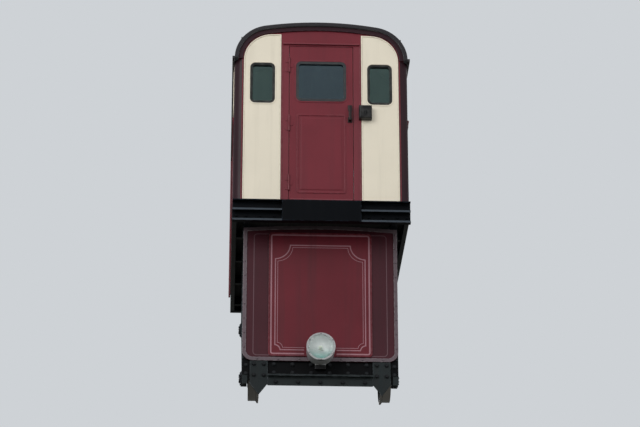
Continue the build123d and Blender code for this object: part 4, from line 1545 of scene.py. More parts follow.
@dataclass
class Apron(Assembly):
    """Fittings of the panel that closes the foot of the wedge: rim screws, lining and the bare board."""

    panel_line: Strip = Strip(0.0096, 0.0012, 0.045)
    panel_margin: float = 0.118
    panel_foot: float = 0.062
    panel_top: float = 0.012
    board_line: Strip = Strip(0.0168, 0.0012, 0.030)
    board_margin: float = 0.022
    inner_lines: Sequence[tuple[float, Strip]] = (
        (0.0, Strip(0.012, 0.0012, 0.060, 0.170, Corner.SCALLOP)),
        (0.030, Strip(0.006, 0.0012, 0.060, 0.170, Corner.SCALLOP)),
    )
    inner_margin: float = 0.070
    inner_top: float = 0.150
    bead: Strip = Strip(0.014, 0.006, 0.040)
    lamp_gap: float = 0.022
    rim_proud: float = 0.0095
    screw_radius: float = 0.010
    screw_inset: float = 0.021
    screws_up: int = 9
    screws_across: int = 7
    screws_foot: float = 0.160
    screws_top: float = 0.100
    screws_end: float = 0.150
    screws_gap: float = 0.200

    def build(self) -> None:
        """Makes every piece."""
        self.add_lines()
        self.add_screws()
        self.add_board_bead()

    def add_lines(self) -> None:
        """The painted lining of the panel and the board."""
        panel, board = self.layout.panel, self.layout.board
        z = (panel.z[0] + self.panel_foot, board.z[1] - self.panel_top)
        sides = self.panel_line.lay("panel_lining", grown(panel.x, -self.panel_margin), panel.y[0], z)
        x, z = grown(board.x, -self.board_margin), grown(board.z, -self.board_margin)
        lines = [self.board_line.lay("board_line", x, board.y[0], z)]
        x = grown(board.x, -self.inner_margin)
        z = (board.z[0] + self.inner_margin, board.z[1] - self.inner_top)
        for step, line in self.inner_lines:
            lines.append(line.lay("inner_line", grown(x, -step), board.y[0], grown(z, -step)))
        for piece, finish in ((join("board_lining", lines), LINING), (sides, LINING_DIM)):
            self.cut_round_lamp(piece)
            dress(piece, finish)

    def cut_round_lamp(self, piece: Object) -> None:
        """Cuts away what the headlamp covers.

        Args:
            piece: The piece to cut.
        """
        lamp = self.layout.lamp
        middle = (0, self.layout.panel.y[0] + 0.05, mid(self.layout.lens.z))
        cut(piece, disc("cutter", lamp.x[1] + self.lamp_gap, 0.2, facing(middle, DOWNHILL), 48))

    def add_screws(self) -> None:
        """Countersunk screws round the rim, with a gap below the headlamp."""
        panel = self.layout.panel
        x, foot = grown(panel.x, -self.screw_inset), panel.z[0] + self.screw_inset
        up = spread((panel.z[0] + self.screws_foot, panel.z[1] - self.screws_top), self.screws_up)
        across = spread(grown(x, -self.screws_end), self.screws_across)
        spots = [(side, z) for side in x for z in up]
        spots += [(side, foot) for side in across if abs(side) > self.screws_gap]
        places = [facing((side, panel.y[0] - self.rim_proud, z), DOWNHILL) for side, z in spots]
        dress(Rivet(self.screw_radius).at("rim_screws", places), GREY_TRIM)

    def add_board_bead(self) -> None:
        """A half-round bead round the board's edge."""
        board = self.layout.board
        bead = self.bead.lay("board_bead", board.x, board.y[0], board.z)
        self.cut_round_lamp(bead)
        ease(bead, 0.004, 3)
        dress(bead, BOARD_MAROON)


@dataclass
class Headlamp(Assembly):
    """The lamp on the apron: drum, ring, bowl, bulb and domed glass."""

    sides: int = 64
    radius: float = 0.157
    ring: float = 0.022
    ring_proud: float = 0.006
    ring_step: float = 0.001
    hollow: float = 0.150
    foot_half: float = 0.06
    foot_depth: float = 0.024
    bowl_depth: float = 0.105
    bowl_wall: float = 0.002
    bulb_radius: float = 0.022
    bulb_place: float = 0.45
    bulb_seat: float = 0.008
    neck: float = 0.012
    neck_share: float = 0.7
    holder_radius: float = 0.016
    holder_length: float = 0.050
    holder_foot: float = 0.045
    glass_rise: float = 0.048
    glass_wall: float = 0.004
    glass_flange: float = 0.007
    glass_seat: float = 0.008
    screw_radius: float = 0.007
    screw_circle: float = 0.1525
    screw_count: int = 6

    @property
    def height(self) -> float:
        """The lamp's middle."""
        return mid(self.layout.lens.z)

    def build(self) -> None:
        """Makes every piece."""
        self.add_drum()
        self.add_bowl()
        self.add_bulb()
        self.add_glass()
        self.add_screws()

    def add_drum(self) -> None:
        """The drum with its ring and foot, hollow towards the glass."""
        panel, lamp, lens = self.layout.panel, self.layout.lamp, self.layout.lens
        back, front = panel.y[0], lamp.y[0]
        outer = self.radius + self.ring_proud
        place = facing((0, back, self.height), DOWNHILL)
        drum = disc("headlamp_drum", self.radius, back - front - self.ring, place, self.sides)
        with editing(drum):
            pick_faces(drum, looking(DOWNHILL))
            extrude(0, -self.ring_step, 0)
            share = outer / self.radius
            bpy.ops.transform.resize(value=(share, 1, share), center_override=(0, front, self.height))
            extrude(0, -(self.ring - self.ring_step), 0)
            bpy.ops.mesh.inset(thickness=outer - lens.x[1], depth=0)
            extrude(0, self.hollow, 0)
        face_outwards(drum)
        ease(drum, 0.003)
        foot = block(
            "foot", around(0, self.foot_half), (back - self.foot_depth, panel.y[1]), (lamp.z[0], panel.z[0]),
        )
        ease(foot, 0.004)
        drum = join("headlamp_drum", [drum, foot])
        dress(drum, LAMP_GREY)
        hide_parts("headlamp_shell")

    def add_bowl(self) -> None:
        """The reflector behind the glass."""
        lens = self.layout.lens
        radius = lens.x[1] - self.bowl_wall
        bowl = ball("headlamp_reflector", radius, 48, 24)
        with editing(bowl, everything=True):
            bpy.ops.mesh.bisect(plane_co=(0, 0, 0), plane_no=(0, 1, 0), clear_inner=True)
        flatter = Matrix.Diagonal((1, self.bowl_depth / radius, 1, 1))
        bowl.data.transform(moved(0, lens.y[1] - self.bowl_wall, self.height) @ flatter)
        thicken(bowl, self.bowl_wall, -1)
        face_outwards(bowl)
        smooth(bowl, sharp=False)
        dress(bowl, REFLECTOR)

    def add_bulb(self) -> None:
        """The bulb in its holder."""
        tip = self.layout.lens.y[1] + self.bowl_depth * self.bulb_place
        foot = facing((0, tip + self.holder_foot, self.height), DOWNHILL)
        holder = disc("holder", self.holder_radius, self.holder_length, foot, 20)
        ease(holder, 0.003)
        bulb = ball("bulb", self.bulb_radius, 24, 16)
        with editing(bulb):
            pick_faces(bulb, lambda middle, normal: middle.y > self.neck)
            bpy.ops.transform.resize(value=(self.neck_share, 1, self.neck_share))
        bulb.data.transform(moved(0, tip - self.bulb_seat, self.height))
        smooth(bulb, sharp=False)
        dress(join("headlamp_bulb", [bulb, holder]), OPAL)

    def add_glass(self) -> None:
        """The domed glass: the cap of a ball, with a flange."""
        lens, rise = self.layout.lens, self.glass_rise
        bend = (lens.x[1]**2 + rise**2) / (2 * rise)
        glass = ball("headlamp_glass", bend, 72, 96)
        glass.data.transform(Matrix.Rotation(math.pi / 2, 4, "X"))
        with editing(glass, everything=True):
            bpy.ops.mesh.bisect(plane_co=(0, rise - bend, 0), plane_no=(0, 1, 0), clear_outer=True)
            pick_edges(glass, lambda a, b: min(a.y, b.y) > rise - bend - 1e-4)
            extrude(0, self.glass_flange, 0)
        seat = lens.y[1] - self.glass_seat
        glass.data.transform(moved(0, seat + bend - rise, self.height))
        thicken(glass, self.glass_wall, -1)
        face_outwards(glass)
        smooth(glass)
        dress(glass, LENS)
        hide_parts("headlamp_lens")

    def add_screws(self) -> None:
        """Clamp screws round the ring."""
        centre = (0, self.layout.lamp.y[0] + 0.0005, self.height)
        places = ring(centre, self.screw_circle, self.screw_count, DOWNHILL, math.radians(30))
        dress(Rivet(self.screw_radius).at("headlamp_screws", places), CHROME)


@dataclass
class Sill(Assembly):
    """The channel and tread across each end; the downhill channel hangs lower."""

    step_half: float = 0.450
    depth: float = 0.150
    drop: float = 0.100
    edge: float = 0.022
    proud: float = 0.003
    web: float = 0.070
    bolt_places: Sequence[float] = (0.54, 0.70, 0.86, 0.97)
    tread: Span = (0.115, 0.018)
    tread_half: float = 0.985
    lozenge: Point = (0.024, 0.007, 0.0025)
    lozenge_rows: int = 4
    lozenge_columns: int = 58

    def build(self) -> None:
        """Makes every piece for both ends."""
        low = self.layout.sills.z[0]
        for end, foot in (("front", low), ("rear", low + self.drop)):
            self.place(end, self.edges(foot), SILL_EDGE_HIGHLIGHT)
            self.place(end, self.bolts(foot), SILL_BLACK)
        self.add_treads()

    def place(self, end: str, piece: Object, finish: Finish) -> None:
        """Names a piece after its end, turns the uphill one round and dresses it.

        Args:
            end: front or rear.
            piece: The piece, built at the downhill end.
            finish: Its finish.
        """
        if end == "rear":
            piece.data.transform(self.layout.turned)
        piece.name = piece.data.name = f"{end}_{piece.name}"
        dress(piece, finish)

    def edges(self, foot: float) -> Object:
        """Lighter strips on the channel's two flanges, left and right of the step: partly worn nosing, partly
        painted highlight where the flange edges catch the light.

        Args:
            foot: The channel's foot.

        Returns:
            The four strips as one piece.
        """
        face = self.layout.sills.y[0] + 0.012
        x = (self.step_half + 0.004, self.layout.sills.x[1] - 0.002)
        bars = []
        for low in (foot, foot + self.depth - self.edge):
            bar = block("edge", x, (face - self.proud, face + 0.001), (low, low + self.edge))
            ease(bar, 0.0012)
            bars += [copy_of(bar, "left_edge", MIRROR), bar]
        return join("sill_edges", bars)

    def bolts(self, foot: float) -> Object:
        """Bolts through the channel's web.

        Args:
            foot: The channel's foot.

        Returns:
            The row of bolts.
        """
        y, z = self.layout.sills.y[0] + self.web, foot + self.depth / 2
        places = [facing((side * x, y, z), DOWNHILL) for side in (-1, 1) for x in self.bolt_places]
        return Bolt(0.8).at("sill_bolts", places)

    def add_treads(self) -> None:
        """Raised lozenges on the tread, turned this way and that."""
        lozenge = block("lozenge", *(around(0, size / 2) for size in self.lozenge))
        with editing(lozenge):
            pick_faces(lozenge, looking(UP))
            bpy.ops.transform.resize(value=(0.75, 0.4, 1))
        face, top = self.layout.face, self.layout.sills.z[1]
        places = []
        for row, y in enumerate(spread((face - self.tread[0], face - self.tread[1]), self.lozenge_rows)):
            for column, x in enumerate(spread(around(0, self.tread_half), self.lozenge_columns)):
                turn = Matrix.Rotation(math.radians(45 if (row + column) % 2 else -45), 4, "Z")
                places.append(moved(x, y, top + 0.0008) @ turn)
        self.both_ends(repeat("tread_pattern", lozenge, places), SILL_BLACK)


@dataclass
class CabinEnd(Wall):
    """Fittings of the cabin's two ends: cream sheets, beads, drip rail, window trims and lock details."""

    crown_rise: float = 0.014
    bead_width: float = 0.015
    bead_proud: float = 0.010
    gap: float = 0.004
    rail_proud: float = 0.022
    rail_height: float = 0.020
    rail_slope: float = 0.013
    strip_width: float = 0.016
    strip_proud: float = 0.006
    lock_reach: float = 0.047
    lock_proud: float = 0.084
    lid: Strip = Strip(0.006, 0.003, 0.008)
    lid_half: Span = (0.052, 0.060)
    boss_radius: float = 0.018
    boss_depth: float = 0.010
    lever_half: float = 0.006
    lever_y: Span = (-0.018, -0.008)
    lever_z: Span = (-0.046, 0.010)

    def build(self) -> None:
        """Makes every piece for both ends."""
        self.add_cream_sheets()
        self.add_window_trims()
        self.add_drip_rail()
        self.add_corner_beads()
        self.add_lock_details()

    def outline(self, name: str) -> Object:
        """The cream sheet's face on the right: a tall plane whose outer top corner follows the roof.

        Args:
            name: The piece's name.

        Returns:
            A flat piece that faces downhill.
        """
        layout = self.layout
        inner, outer = layout.posts.x[1] + self.gap, layout.flat_end
        radius = layout.shoulder - layout.corner
        crown = layout.high_sides.z[1] + radius - self.gap
        piece = sheet_facing(name, (inner, outer), layout.face, (layout.floor + self.gap, crown))
        with editing(piece):
            pick_points(piece, lambda place: place.z > crown - 0.01 and place.x < inner + 0.01)
            bpy.ops.transform.translate(value=(0, 0, self.crown_rise))
            pick_points(piece, lambda place: place.z > crown - 0.01 and place.x > outer - 0.01)
            round_corners(radius, 14)
        return piece

    def add_cream_sheets(self) -> None:
        """The cream sheets and the bead round each."""
        layout = self.layout
        sheet = self.outline("cream_sheet")
        bead = self.outline("bead")
        with editing(bead, everything=True):
            leave_rim(self.bead_width)
        thicken(bead, self.bead_proud)
        ease(bead, 0.004, 3)
        thicken(sheet, self.sheet)
        self.cut_window(sheet, layout.end_window, layout.end_window_width, layout.face, 0.06)
        ease(sheet, 0.001)
        self.both_ends(join("cream_sheets", mirrored(sheet, bead)), CREAM)

    def add_window_trims(self) -> None:
        """A raised frame round each end window's rubber."""
        layout, reach = self.layout, self.trim_reach
        x, z = around(layout.end_window, layout.end_window_width / 2 + reach), grown(layout.window_z, reach)
        strip = Strip(self.trim_width, self.trim_proud, layout.window_corner + reach)
        trim = strip.lay("trim", x, layout.face - self.sheet, z)
        ease(trim, 0.003)
        self.both_ends(join("window_trims", mirrored(trim)), CREAM)

    def add_drip_rail(self) -> None:
        """A drip rail over the doorway and a cover strip up each door post."""
        layout, face = self.layout, self.layout.face
        foot = layout.header.z[0] + 0.018
        half, y = layout.posts.x[1] - 0.02, (face - self.rail_proud, face)
        rail = block("rail", around(0, half), y, (foot, foot + self.rail_height))
        with editing(rail):
            pick_edges(rail, lambda a, b: max(a.y, b.y) < face - 0.01 and min(a.z, b.z) > foot + 0.01)
            bpy.ops.mesh.bevel(offset=self.rail_slope, segments=4, affect="EDGES")
        ease(rail, 0.001)
        strips = []
        y, z = (face - self.strip_proud, face), (layout.floor + 0.003, foot)
        for x in (layout.posts.x[1] - self.strip_width, -layout.posts.x[1]):
            strips.append(ease(block("strip", (x, x + self.strip_width), y, z), 0.003, 3))
        self.both_ends(join("doorway_mouldings", [rail, *strips]), MAROON_POST_HIGHLIGHT)

    def add_corner_beads(self) -> None:
        """A bead up each corner post and a skirt along the floor's edge."""
        layout, face = self.layout, self.layout.face
        bead = block(
            "corner_bead", (layout.flat_end + 0.006, layout.flat_end + 0.020), (face - 0.005, face),
            (layout.floor + 0.002, layout.high_sides.z[1]),
        )
        ease(bead, 0.003, 3)
        skirt = block(
            "skirt", (layout.posts.x[1], layout.flat_end), (face - 0.004, face),
            (layout.deck.z[0] + 0.026, layout.floor - 0.002),
        )
        ease(skirt, 0.0015)
        self.both_ends(join("corner_beads", mirrored(bead, skirt)), MAROON)

    def add_lock_details(self) -> None:
        """The lock case's lid line, boss and lever."""
        layout = self.layout
        x, y, z = layout.posts.x[1] + self.lock_reach, layout.face - self.lock_proud, mid(layout.locks.z)
        across, up = around(x, self.lid_half[0]), around(z, self.lid_half[1])
        lid = self.lid.lay("lid", across, y, up)
        ease(lid, 0.001)
        boss = disc("boss", self.boss_radius, self.boss_depth, facing((x, y, z), DOWNHILL))
        ease(boss, 0.003)
        reach, rise = (y + self.lever_y[0], y + self.lever_y[1]), (z + self.lever_z[0], z + self.lever_z[1])
        lever = block("lever", around(x, self.lever_half), reach, rise)
        ease(lever, 0.004, 3)
        self.both_ends(join("lock_details", [lid, boss, lever]), CASE_BLACK)


@dataclass
class Doors(Assembly):
    """Mouldings, weather bars, handle plates, inner linings and hinge caps of both doors."""

    bodies: tuple[str, str] = ("front_door", "rear_door")
    bead_reach: float = 0.018
    gasket: float = 0.030
    glass_corner: float = 0.062
    bead_width: float = 0.016
    bead_proud: float = 0.006
    panel_inset: float = 0.085
    panel_foot: float = 0.120
    panel_gap: float = 0.200
    panel: Strip = Strip(0.020, 0.007, 0.030)
    sheet_inset: float = 0.045
    sheet_proud: float = 0.004
    sheet_slope: Span = (0.012, 0.0015)
    lining_foot: float = 0.060
    lining_gap: float = 0.090
    lining_inset: float = 0.050
    lining: Strip = Strip(0.030, 0.005, 0.040)
    bar_proud: float = 0.020
    bar_height: float = 0.034
    bar_slope: float = 0.016
    plate_half: Span = (0.026, 0.034)
    plate_proud: float = 0.003
    hinge_heights: Sequence[float] = (0.25, 1.005, 1.76)
    hinge_half: float = 0.0906
    pin_x: float = 0.092
    pin_y: float = 0.012
    cap_radius: float = 0.0105
    cap_length: float = 0.010

    def build(self) -> None:
        """Makes every piece for both doors."""
        self.add_mouldings()
        self.add_weather_bars()
        self.add_handle_plates()
        self.add_linings()
        self.add_hinge_caps()

    def add_mouldings(self) -> None:
        """The bead round the window and the framed lower panel."""
        layout, glass, face = self.layout, self.layout.leaf_glass, self.layout.face
        reach = self.gasket + self.bead_reach
        strip = Strip(self.bead_width, self.bead_proud, self.glass_corner + self.bead_reach)
        bead = strip.lay("bead", grown(glass.x, reach), face, grown(glass.z, reach))
        ease(bead, 0.003, 3)
        x = around(0, layout.leaf.x[1] - self.panel_inset)
        z = (layout.floor + self.panel_foot, glass.z[0] - self.panel_gap)
        panel = self.panel.lay("panel", x, face, z)
        ease(panel, 0.004, 3)
        sheet = sheet_facing("sheet", grown(x, -self.sheet_inset), face, grown(z, -self.sheet_inset))
        with editing(sheet, everything=True):
            extrude(0, -self.sheet_proud, 0)
            bpy.ops.mesh.inset(thickness=self.sheet_slope[0], depth=self.sheet_slope[1])
        face_outwards(sheet)
        self.both_ends(join("door_mouldings", [bead, panel, sheet]), MAROON, self.bodies)

    def add_weather_bars(self) -> None:
        """A sloped bar that sheds rain at the door's foot."""
        leaf, face = self.layout.leaf, self.layout.face
        half, foot = leaf.x[1] - 0.012, leaf.z[0] + 0.006
        y, z = (face - self.bar_proud, face), (foot, foot + self.bar_height)
        bar = block("weather_bar", around(0, half), y, z)
        with editing(bar):
            pick_edges(bar, lambda a, b: max(a.y, b.y) < face - 0.01 and min(a.z, b.z) > foot + 0.02)
            bpy.ops.mesh.bevel(offset=self.bar_slope, segments=3, affect="EDGES")
        self.both_ends(ease(bar, 0.0015), MAROON_POST_HIGHLIGHT, self.bodies)

    def add_handle_plates(self) -> None:
        """Plates behind the handle's feet."""
        handle, face = self.layout.handle, self.layout.face
        x, y = around(mid(handle.x), self.plate_half[0]), (face - self.plate_proud, face)
        plates = [block("plate", x, y, around(z, self.plate_half[1])) for z in grown(handle.z, -0.017)]
        plates = [ease(plate, 0.001) for plate in plates]
        self.both_ends(join("handle_plates", plates), HANDLE, self.bodies)

    def add_linings(self) -> None:
        """The framed lining on the door's inner face."""
        layout, leaf = self.layout, self.layout.leaf
        x = around(0, leaf.x[1] - self.lining_inset)
        z = (layout.floor + self.lining_foot, layout.leaf_glass.z[0] - self.lining_gap)
        lining = self.lining.lay("door_lining", x, 0.0, z)
        lining.data.transform(moved(0, leaf.y[1], 0) @ Matrix.Rotation(math.pi, 4, "Z"))
        self.both_ends(ease(lining, 0.002), CREAM_INSIDE, self.bodies)

    def add_hinge_caps(self) -> None:
        """Ball-ended pins above and below each hinge."""
        layout = self.layout
        x, y = -layout.posts.x[1] + self.pin_x, layout.face - self.pin_y
        caps = []
        for height in self.hinge_heights:
            for side, way in ((-1, DOWN), (1, UP)):
                z = layout.floor + height + side * self.hinge_half
                cap = disc("cap", self.cap_radius, self.cap_length, facing((x, y, z), way), 16)
                caps.append(ease(cap, 0.004, 3))
        self.both_ends(join("hinge_caps", caps), MAROON_POST_HIGHLIGHT)


@dataclass
class Sides(Wall):
    """Sheets, window trims, mouldings, lining and skirts of the two side walls."""

    window_pitch: float = 0.880
    window_width: float = 0.720
    bay_margin: float = 0.10
    lines: Sequence[tuple[float, Strip]] = (
        (0.0, Strip(0.010, 0.0012, 0.060, style=Corner.SCALLOP)),
        (0.024, Strip(0.004, 0.0012, 0.055, style=Corner.SCALLOP)),
    )
    skirt_proud: float = 0.004
    screw_radius: float = 0.006
    screw_count: int = 14

    @property
    def along(self) -> Span:
        """Where the flat side starts and ends along the car."""
        return self.layout.high_sides.y

    @property
    def flat(self) -> float:
        """The wall's outer face before it is turned from the end to the side."""
        return -self.layout.wall

    @property
    def windows(self) -> list[float]:
        """The three windows' middles."""
        return spread(around(self.layout.middle, self.window_pitch), 3)

    @property
    def joints(self) -> list[float]:
        """Half way between the windows."""
        return [mid(pair) for pair in zip(self.windows, self.windows[1:])]

    def build(self) -> None:
        """Makes every piece for both sides."""
        self.add_cream_sheets()
        self.add_window_trims()
        self.add_mouldings()
        self.add_lining()
        self.add_skirts()
        self.add_hopper_bars()

    def dress_walls(self, name: str, pieces: Sequence[Object], finish: Finish) -> None:
        """Turns pieces that face downhill to the right side, mirrors them to the left and dresses them.

        Args:
            name: The name of what they become.
            pieces: The pieces, with their place along the car given as x.
            finish: The finish.
        """
        piece = join(name, pieces)
        piece.data.transform(Matrix.Rotation(math.pi / 2, 4, "Z"))
        both_sides(name, piece, finish)

    def add_cream_sheets(self) -> None:
        """The cream sheet round the windows."""
        foot, top = self.layout.high_sides.z
        sheet = sheet_facing("sheet", grown(self.along, -0.03), self.flat, (foot + 0.055, top - 0.016))
        with editing(sheet, everything=True):
            round_corners(0.05, 6)
        thicken(sheet, self.sheet)
        for middle in self.windows:
            self.cut_window(sheet, middle, self.window_width, self.flat, 0.05)
        self.dress_walls("side_cream_sheets", [ease(sheet, 0.001)], CREAM)

    def add_window_trims(self) -> None:
        """A raised frame round each window."""
        face = self.flat - self.sheet
        trims = []
        for middle in self.windows:
            trim = self.window_face("trim", middle, self.window_width, face, self.trim_reach)
            with editing(trim, everything=True):
                leave_rim(self.trim_width)
            thicken(trim, self.trim_proud)
            trims.append(ease(trim, 0.003))
        self.dress_walls("side_window_trims", trims, CREAM)

    def add_mouldings(self) -> None:
        """Waist beads, a foot rail and cover strips over the sheets' joints."""
        floor, low, flat = self.layout.floor, self.layout.low_sides, self.flat
        waist, proud = low.z[1], -low.x[1]
        foot, beam = floor + 0.036, waist - 0.092
        rows = [
            ("waist", self.along, (proud - 0.006, proud), (waist - 0.020, waist - 0.004)),
            ("waist_low", self.along, (flat - 0.008, flat), (beam, waist - 0.074)),
            ("foot", self.along, (flat - 0.008, flat), (floor + 0.002, foot)),
            *(("cover", around(x, 0.022), (flat - 0.006, flat), (foot, beam)) for x in self.joints),
        ]
        self.dress_walls("side_mouldings", [ease(block(*row), 0.003, 3) for row in rows], MAROON)

    def add_lining(self) -> None:
        """A lined rectangle with scalloped corners in each bay of the lower panels."""
        joints = [self.along[0], *self.joints, self.along[1]]
        z = (self.layout.floor + 0.13, self.layout.low_sides.z[1] - 0.19)
        pieces = []
        for bay in zip(joints, joints[1:]):
            x = grown(bay, -self.bay_margin)
            for inset, line in self.lines:
                pieces.append(line.lay("line", grown(x, -inset), self.flat, grown(z, -inset)))
        self.dress_walls("side_lining", pieces, LINING)

    def add_skirts(self) -> None:
        """A strip over the floor's edge, with screws."""
        deck, face = self.layout.deck, self.flat - self.skirt_proud
        strip = block("strip", self.along, (face, self.flat), (deck.z[0] + 0.004, deck.z[1] - 0.002))
        ease(strip, 0.0015)
        along = spread(grown(self.along, -0.05), self.screw_count)
        places = [facing((x, face, mid(deck.z)), DOWNHILL) for x in along]
        self.dress_walls("side_skirts", [strip, Rivet(self.screw_radius).at("screws", places)], MAROON)

    def add_hopper_bars(self) -> None:
        """A glazing bar across each window, below the part that opens, with a catch."""
        pane, top = -self.layout.panes.x[1], self.layout.window_z[1]
        pieces = []
        for middle in self.windows:
            x = (middle - self.window_width / 2 + 0.024, middle + self.window_width / 2 - 0.024)
            bar = block("bar", x, (pane - 0.012, pane), (top - 0.190, top - 0.172))
            ease(bar, 0.003)
            y, z = (pane - 0.018, pane - 0.010), (top - 0.180, top - 0.160)
            pieces += [bar, ease(block("catch", around(middle, 0.025), y, z), 0.003)]
        self.dress_walls("hopper_bars", pieces, CASE_BLACK)


@dataclass
class Roofing(Assembly):
    """Ceiling, gutter straps, downpipes and rain strips of the roof."""

    crown_radius: float = 4.0
    liner_depth: float = 0.049
    batten_depth: float = 0.055
    batten_reach: float = 0.440
    strap_count: int = 7
    pipe_radius: float = 0.011
    clip_count: int = 4
    strip_angle: float = math.radians(38)

    @property
    def shoulder(self) -> tuple[float, float]:
        """The middle of the right shoulder's curve, across the car and in height."""
        return self.layout.wall - self.layout.shoulder, self.layout.high_sides.z[1]

    def build(self) -> None:
        """Makes every piece."""
        self.add_ceiling()
        self.add_straps()
        self.add_downpipes()
        self.add_rain_strips()

    def arch(self, name: str, depth: float, y: Span, thickness: float) -> Object:
        """A sheet under the roof from eaves to eaves: an edge spun round the two shoulders and the crown.

        Args:
            name: The piece's name.
            depth: How far under the roof's outer face.
            y: Where it starts and ends along the car.
            thickness: Its thickness, half inwards and half outwards.

        Returns:
            The piece.
        """
        across, up = self.shoulder
        reach = self.crown_radius - self.layout.shoulder
        lean = math.asin(across / reach)
        crown = up - reach * math.cos(lean)
        start = self.layout.wall - depth
        deselect()
        bpy.ops.mesh.primitive_plane_add(size=1, location=(start - 0.5, mid(y), up))
        bpy.context.active_object.scale = (1, y[1] - y[0], 1)
        piece = named(name)
        with editing(piece):
            pick_points(piece, lambda place: place.x < start - 0.5)
            bpy.ops.mesh.delete(type="VERT")
            bpy.ops.mesh.select_all(action="SELECT")
            for centre, angle, steps in (
                ((across, 0, up), math.pi / 2 - lean, 14),
                ((0, 0, crown), 2 * lean, 16),
                ((-across, 0, up), math.pi / 2 - lean, 14),
            ):
                bpy.ops.mesh.spin(steps=steps, angle=angle, center=centre, axis=(0, 1, 0))
        face_outwards(piece)
        thicken(piece, thickness, 0)
        face_outwards(piece)
        smooth(piece)
        return piece

    def add_ceiling(self) -> None:
        """The liner under the roof with battens across it."""
        inner = self.layout.leaf.y[1]
        walls = (inner + 0.006, 2 * self.layout.middle - inner - 0.006)
        liner = self.arch("ceiling", self.liner_depth, walls, 0.004)
        battens = [
            self.arch("batten", self.batten_depth, around(y, 0.02), 0.010)
            for y in around(self.layout.middle, self.batten_reach)
        ]
        dress(join("ceiling", [liner, *battens]), CREAM_INSIDE)

    def add_straps(self) -> None:
        """Straps that carry the gutters."""
        gutters = self.layout.gutters
        x, z = (self.layout.wall + 0.001, gutters.x[1] - 0.001), (gutters.z[0] - 0.004, gutters.z[0])
        strap = block("strap", x, around(0, 0.010), z)
        with editing(strap):
            pick_faces(strap, looking(LEFT))
            extrude(-0.0008, 0, 0)
        ease(strap, 0.0008)
        places = [moved(0, y, 0) for y in spread(grown(gutters.y, -0.1), self.strap_count)]
        both_sides("gutter_straps", repeat("gutter_straps", strap, places), ROOF_GREY)

    def add_downpipes(self) -> None:
        """A pipe down each rear corner, with clips."""
        layout, gutters = self.layout, self.layout.gutters
        x, y = gutters.x[1] - self.pipe_radius - 0.0005, layout.high_sides.y[1] + 0.012
        foot, top = layout.deck.z[0] - 0.02, gutters.z[0]
        pipe = disc("pipe", self.pipe_radius, top - foot, facing((x, y, foot), UP), 16)
        with editing(pipe):
            pick_faces(pipe, looking(DOWN))
            bpy.ops.mesh.inset(thickness=0.002, depth=0)
            extrude(0, 0, 0.05)
        ease(pipe, 0.0006)
        clips = []
        for z in spread((foot + 0.25, top - 0.15), self.clip_count):
            clip = block("clip", (layout.wall - 0.012, gutters.x[1]), around(y, 0.014), around(z, 0.010))
            clips.append(ease(clip, 0.003))
        both_sides("downpipes", join("downpipes", [pipe, *clips]), MAROON)

    def add_rain_strips(self) -> None:
        """A rain strip along each shoulder of the roof."""
        angle, radius = self.strip_angle, self.layout.shoulder
        across, up = self.shoulder
        strip = block("strip", around(0, 0.006), grown(self.layout.roof.y, -0.02), (-0.004, 0.018))
        ease(strip, 0.003)
        place = moved(across + radius * math.cos(angle), 0, up + radius * math.sin(angle))
        strip.data.transform(place @ Matrix.Rotation(math.pi / 2 - angle, 4, "Y"))
        both_sides("rain_strips", strip, ROOF_GREY)


